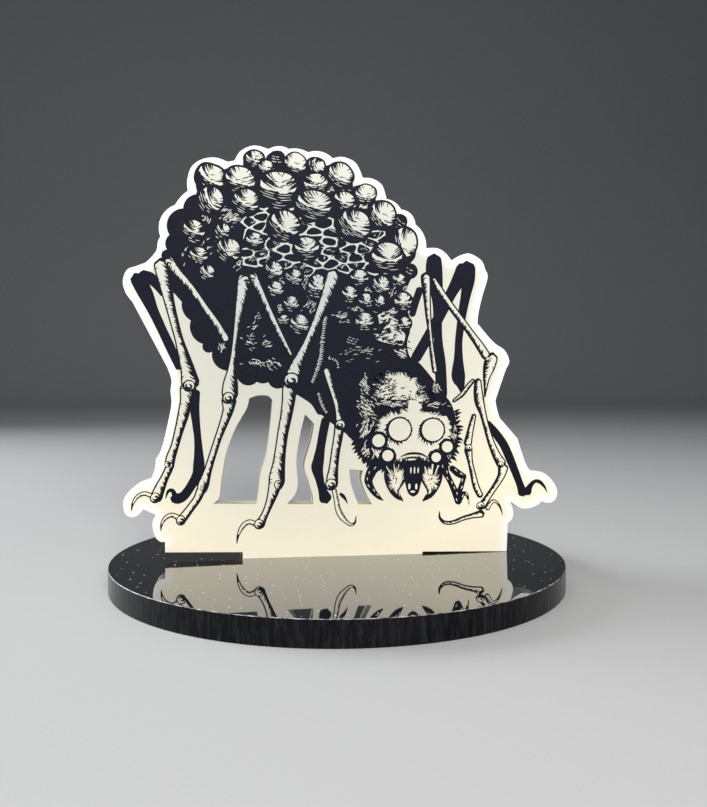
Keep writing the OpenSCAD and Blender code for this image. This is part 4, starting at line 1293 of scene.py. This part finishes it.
def make_jaw():
    art = Print("jaw", 23)
    art.shape(outline([[(8.7, 9.6), (9.2, 8), (9.9, 7.5)],
                       [(10.6, 8), (11, 9.6), (11.6, 11.9)],
                       [(10, 12.4), (8.2, 11.9)]]), LEG_LINE - 0.004)
    fang(art, 1)
    fang(art, -1)
    for lip in ([(8, 12.9, 0.03), (9, 13.3, 0.14), (9.9, 13.4, 0.16), (10.9, 13.3, 0.14),
                 (11.9, 12.8, 0.03)],
                [(8.3, 12.5, 0.03), (9.2, 12.8, 0.12), (10.6, 12.8, 0.12), (11.5, 12.4, 0.03)]):
        art.line(lip, LEG_LINE)
    for u, v, ru, rv in ((9.35, 8.9, 0.16, 0.42), (10.3, 8.9, 0.16, 0.42), (9.82, 8.2, 0.34, 0.16),
                         (9.5, 11.1, 0.1, 0.45), (10, 11.1, 0.1, 0.5), (10.5, 11.1, 0.1, 0.4)):
        art.oval(u, v, ru, rv, 0, LEG_LIGHT, LIGHT, 16)
    for path in FEELERS:
        feeler(art, path)
    art.finish()


make_head()
make_eyes()
make_jaw()


# ---------------------------------------------------------------- floor, light, camera

def make_stage():
    """A pale floor that sweeps up into a pale backdrop behind the object."""
    mat, add = node_material("pale_sweep")
    mottle = add("ShaderNodeTexNoise", Scale=6.0, Detail=3.0).outputs["Fac"]
    tone = ramp(add, mottle, [(0.3, (0.60, 0.60, 0.60)), (0.7, (0.62, 0.62, 0.62))])
    add(None, Base_Color=tone, Roughness=0.85)
    low, bend, wide, front, start = cad_bounds[0][2], 0.45, 3.0, -3.0, 0.75
    profile = [(front, low), (start, low)]
    for k in range(1, 33):
        a = math.pi / 2 * k / 32
        profile.append((start + bend * math.sin(a), low + bend * (1 - math.cos(a))))
    profile.append((start + bend, low + 2.2))
    verts = [(x, y, z) for y, z in profile for x in (-wide, wide)]
    faces = [[2 * k, 2 * k + 1, 2 * k + 3, 2 * k + 2] for k in range(len(profile) - 1)]
    sweep = make_piece("sweep", verts, faces, [mat], smooth=[True] * len(faces))


def area_light(name, place, aim, size, power, colour, spread):
    data = bpy.data.lights.new(name, "AREA")
    data.shape = "RECTANGLE"
    data.size, data.size_y = size
    data.energy = power
    data.color = colour
    data.spread = math.radians(spread)
    light = bpy.data.objects.new(name, data)
    bpy.context.scene.collection.objects.link(light)
    light.location = place
    light.rotation_euler = (Vector(aim) - Vector(place)).to_track_quat("-Z", "Y").to_euler()


def make_lights():
    world = bpy.data.worlds.new("studio")
    bpy.context.scene.world = world
    world.use_nodes = True
    background = world.node_tree.nodes["Background"]
    background.inputs["Color"].default_value = (0.80, 0.90, 1.0, 1)
    background.inputs["Strength"].default_value = 0.10
    area_light("key", (0.02, -0.40, 0.19), (0, 0, 0.03), (0.22, 0.18), 0.62, (1.0, 0.98, 0.95), 100)
    area_light("top", (-0.10, -0.10, 0.55), (0, 0, 0), (0.5, 0.4), 0.35, (0.97, 0.98, 1.0), 140)
    area_light("side", (-0.42, 0.16, 0.12), (0, 0, 0.01), (0.34, 0.22), 0.8, (0.95, 0.98, 1.0), 90)


def make_camera():
    data = bpy.data.cameras.new("camera")
    data.lens, data.sensor_width = 35.69, 36.0
    data.clip_start, data.clip_end = 0.005, 20.0
    camera = bpy.data.objects.new("camera", data)
    bpy.context.scene.collection.objects.link(camera)
    place = Vector((-0.01073, -0.10782, BASE_TOP * MM + 0.02359))
    yaw, pitch = 0.1185, 0.0292
    forward = Vector((math.sin(yaw) * math.cos(pitch), math.cos(yaw) * math.cos(pitch),
                      -math.sin(pitch)))
    camera.location = place
    camera.rotation_euler = forward.to_track_quat("-Z", "Y").to_euler()
    bpy.context.scene.camera = camera


make_stage()
make_lights()
make_camera()
bpy.context.scene.view_settings.view_transform = "Standard"
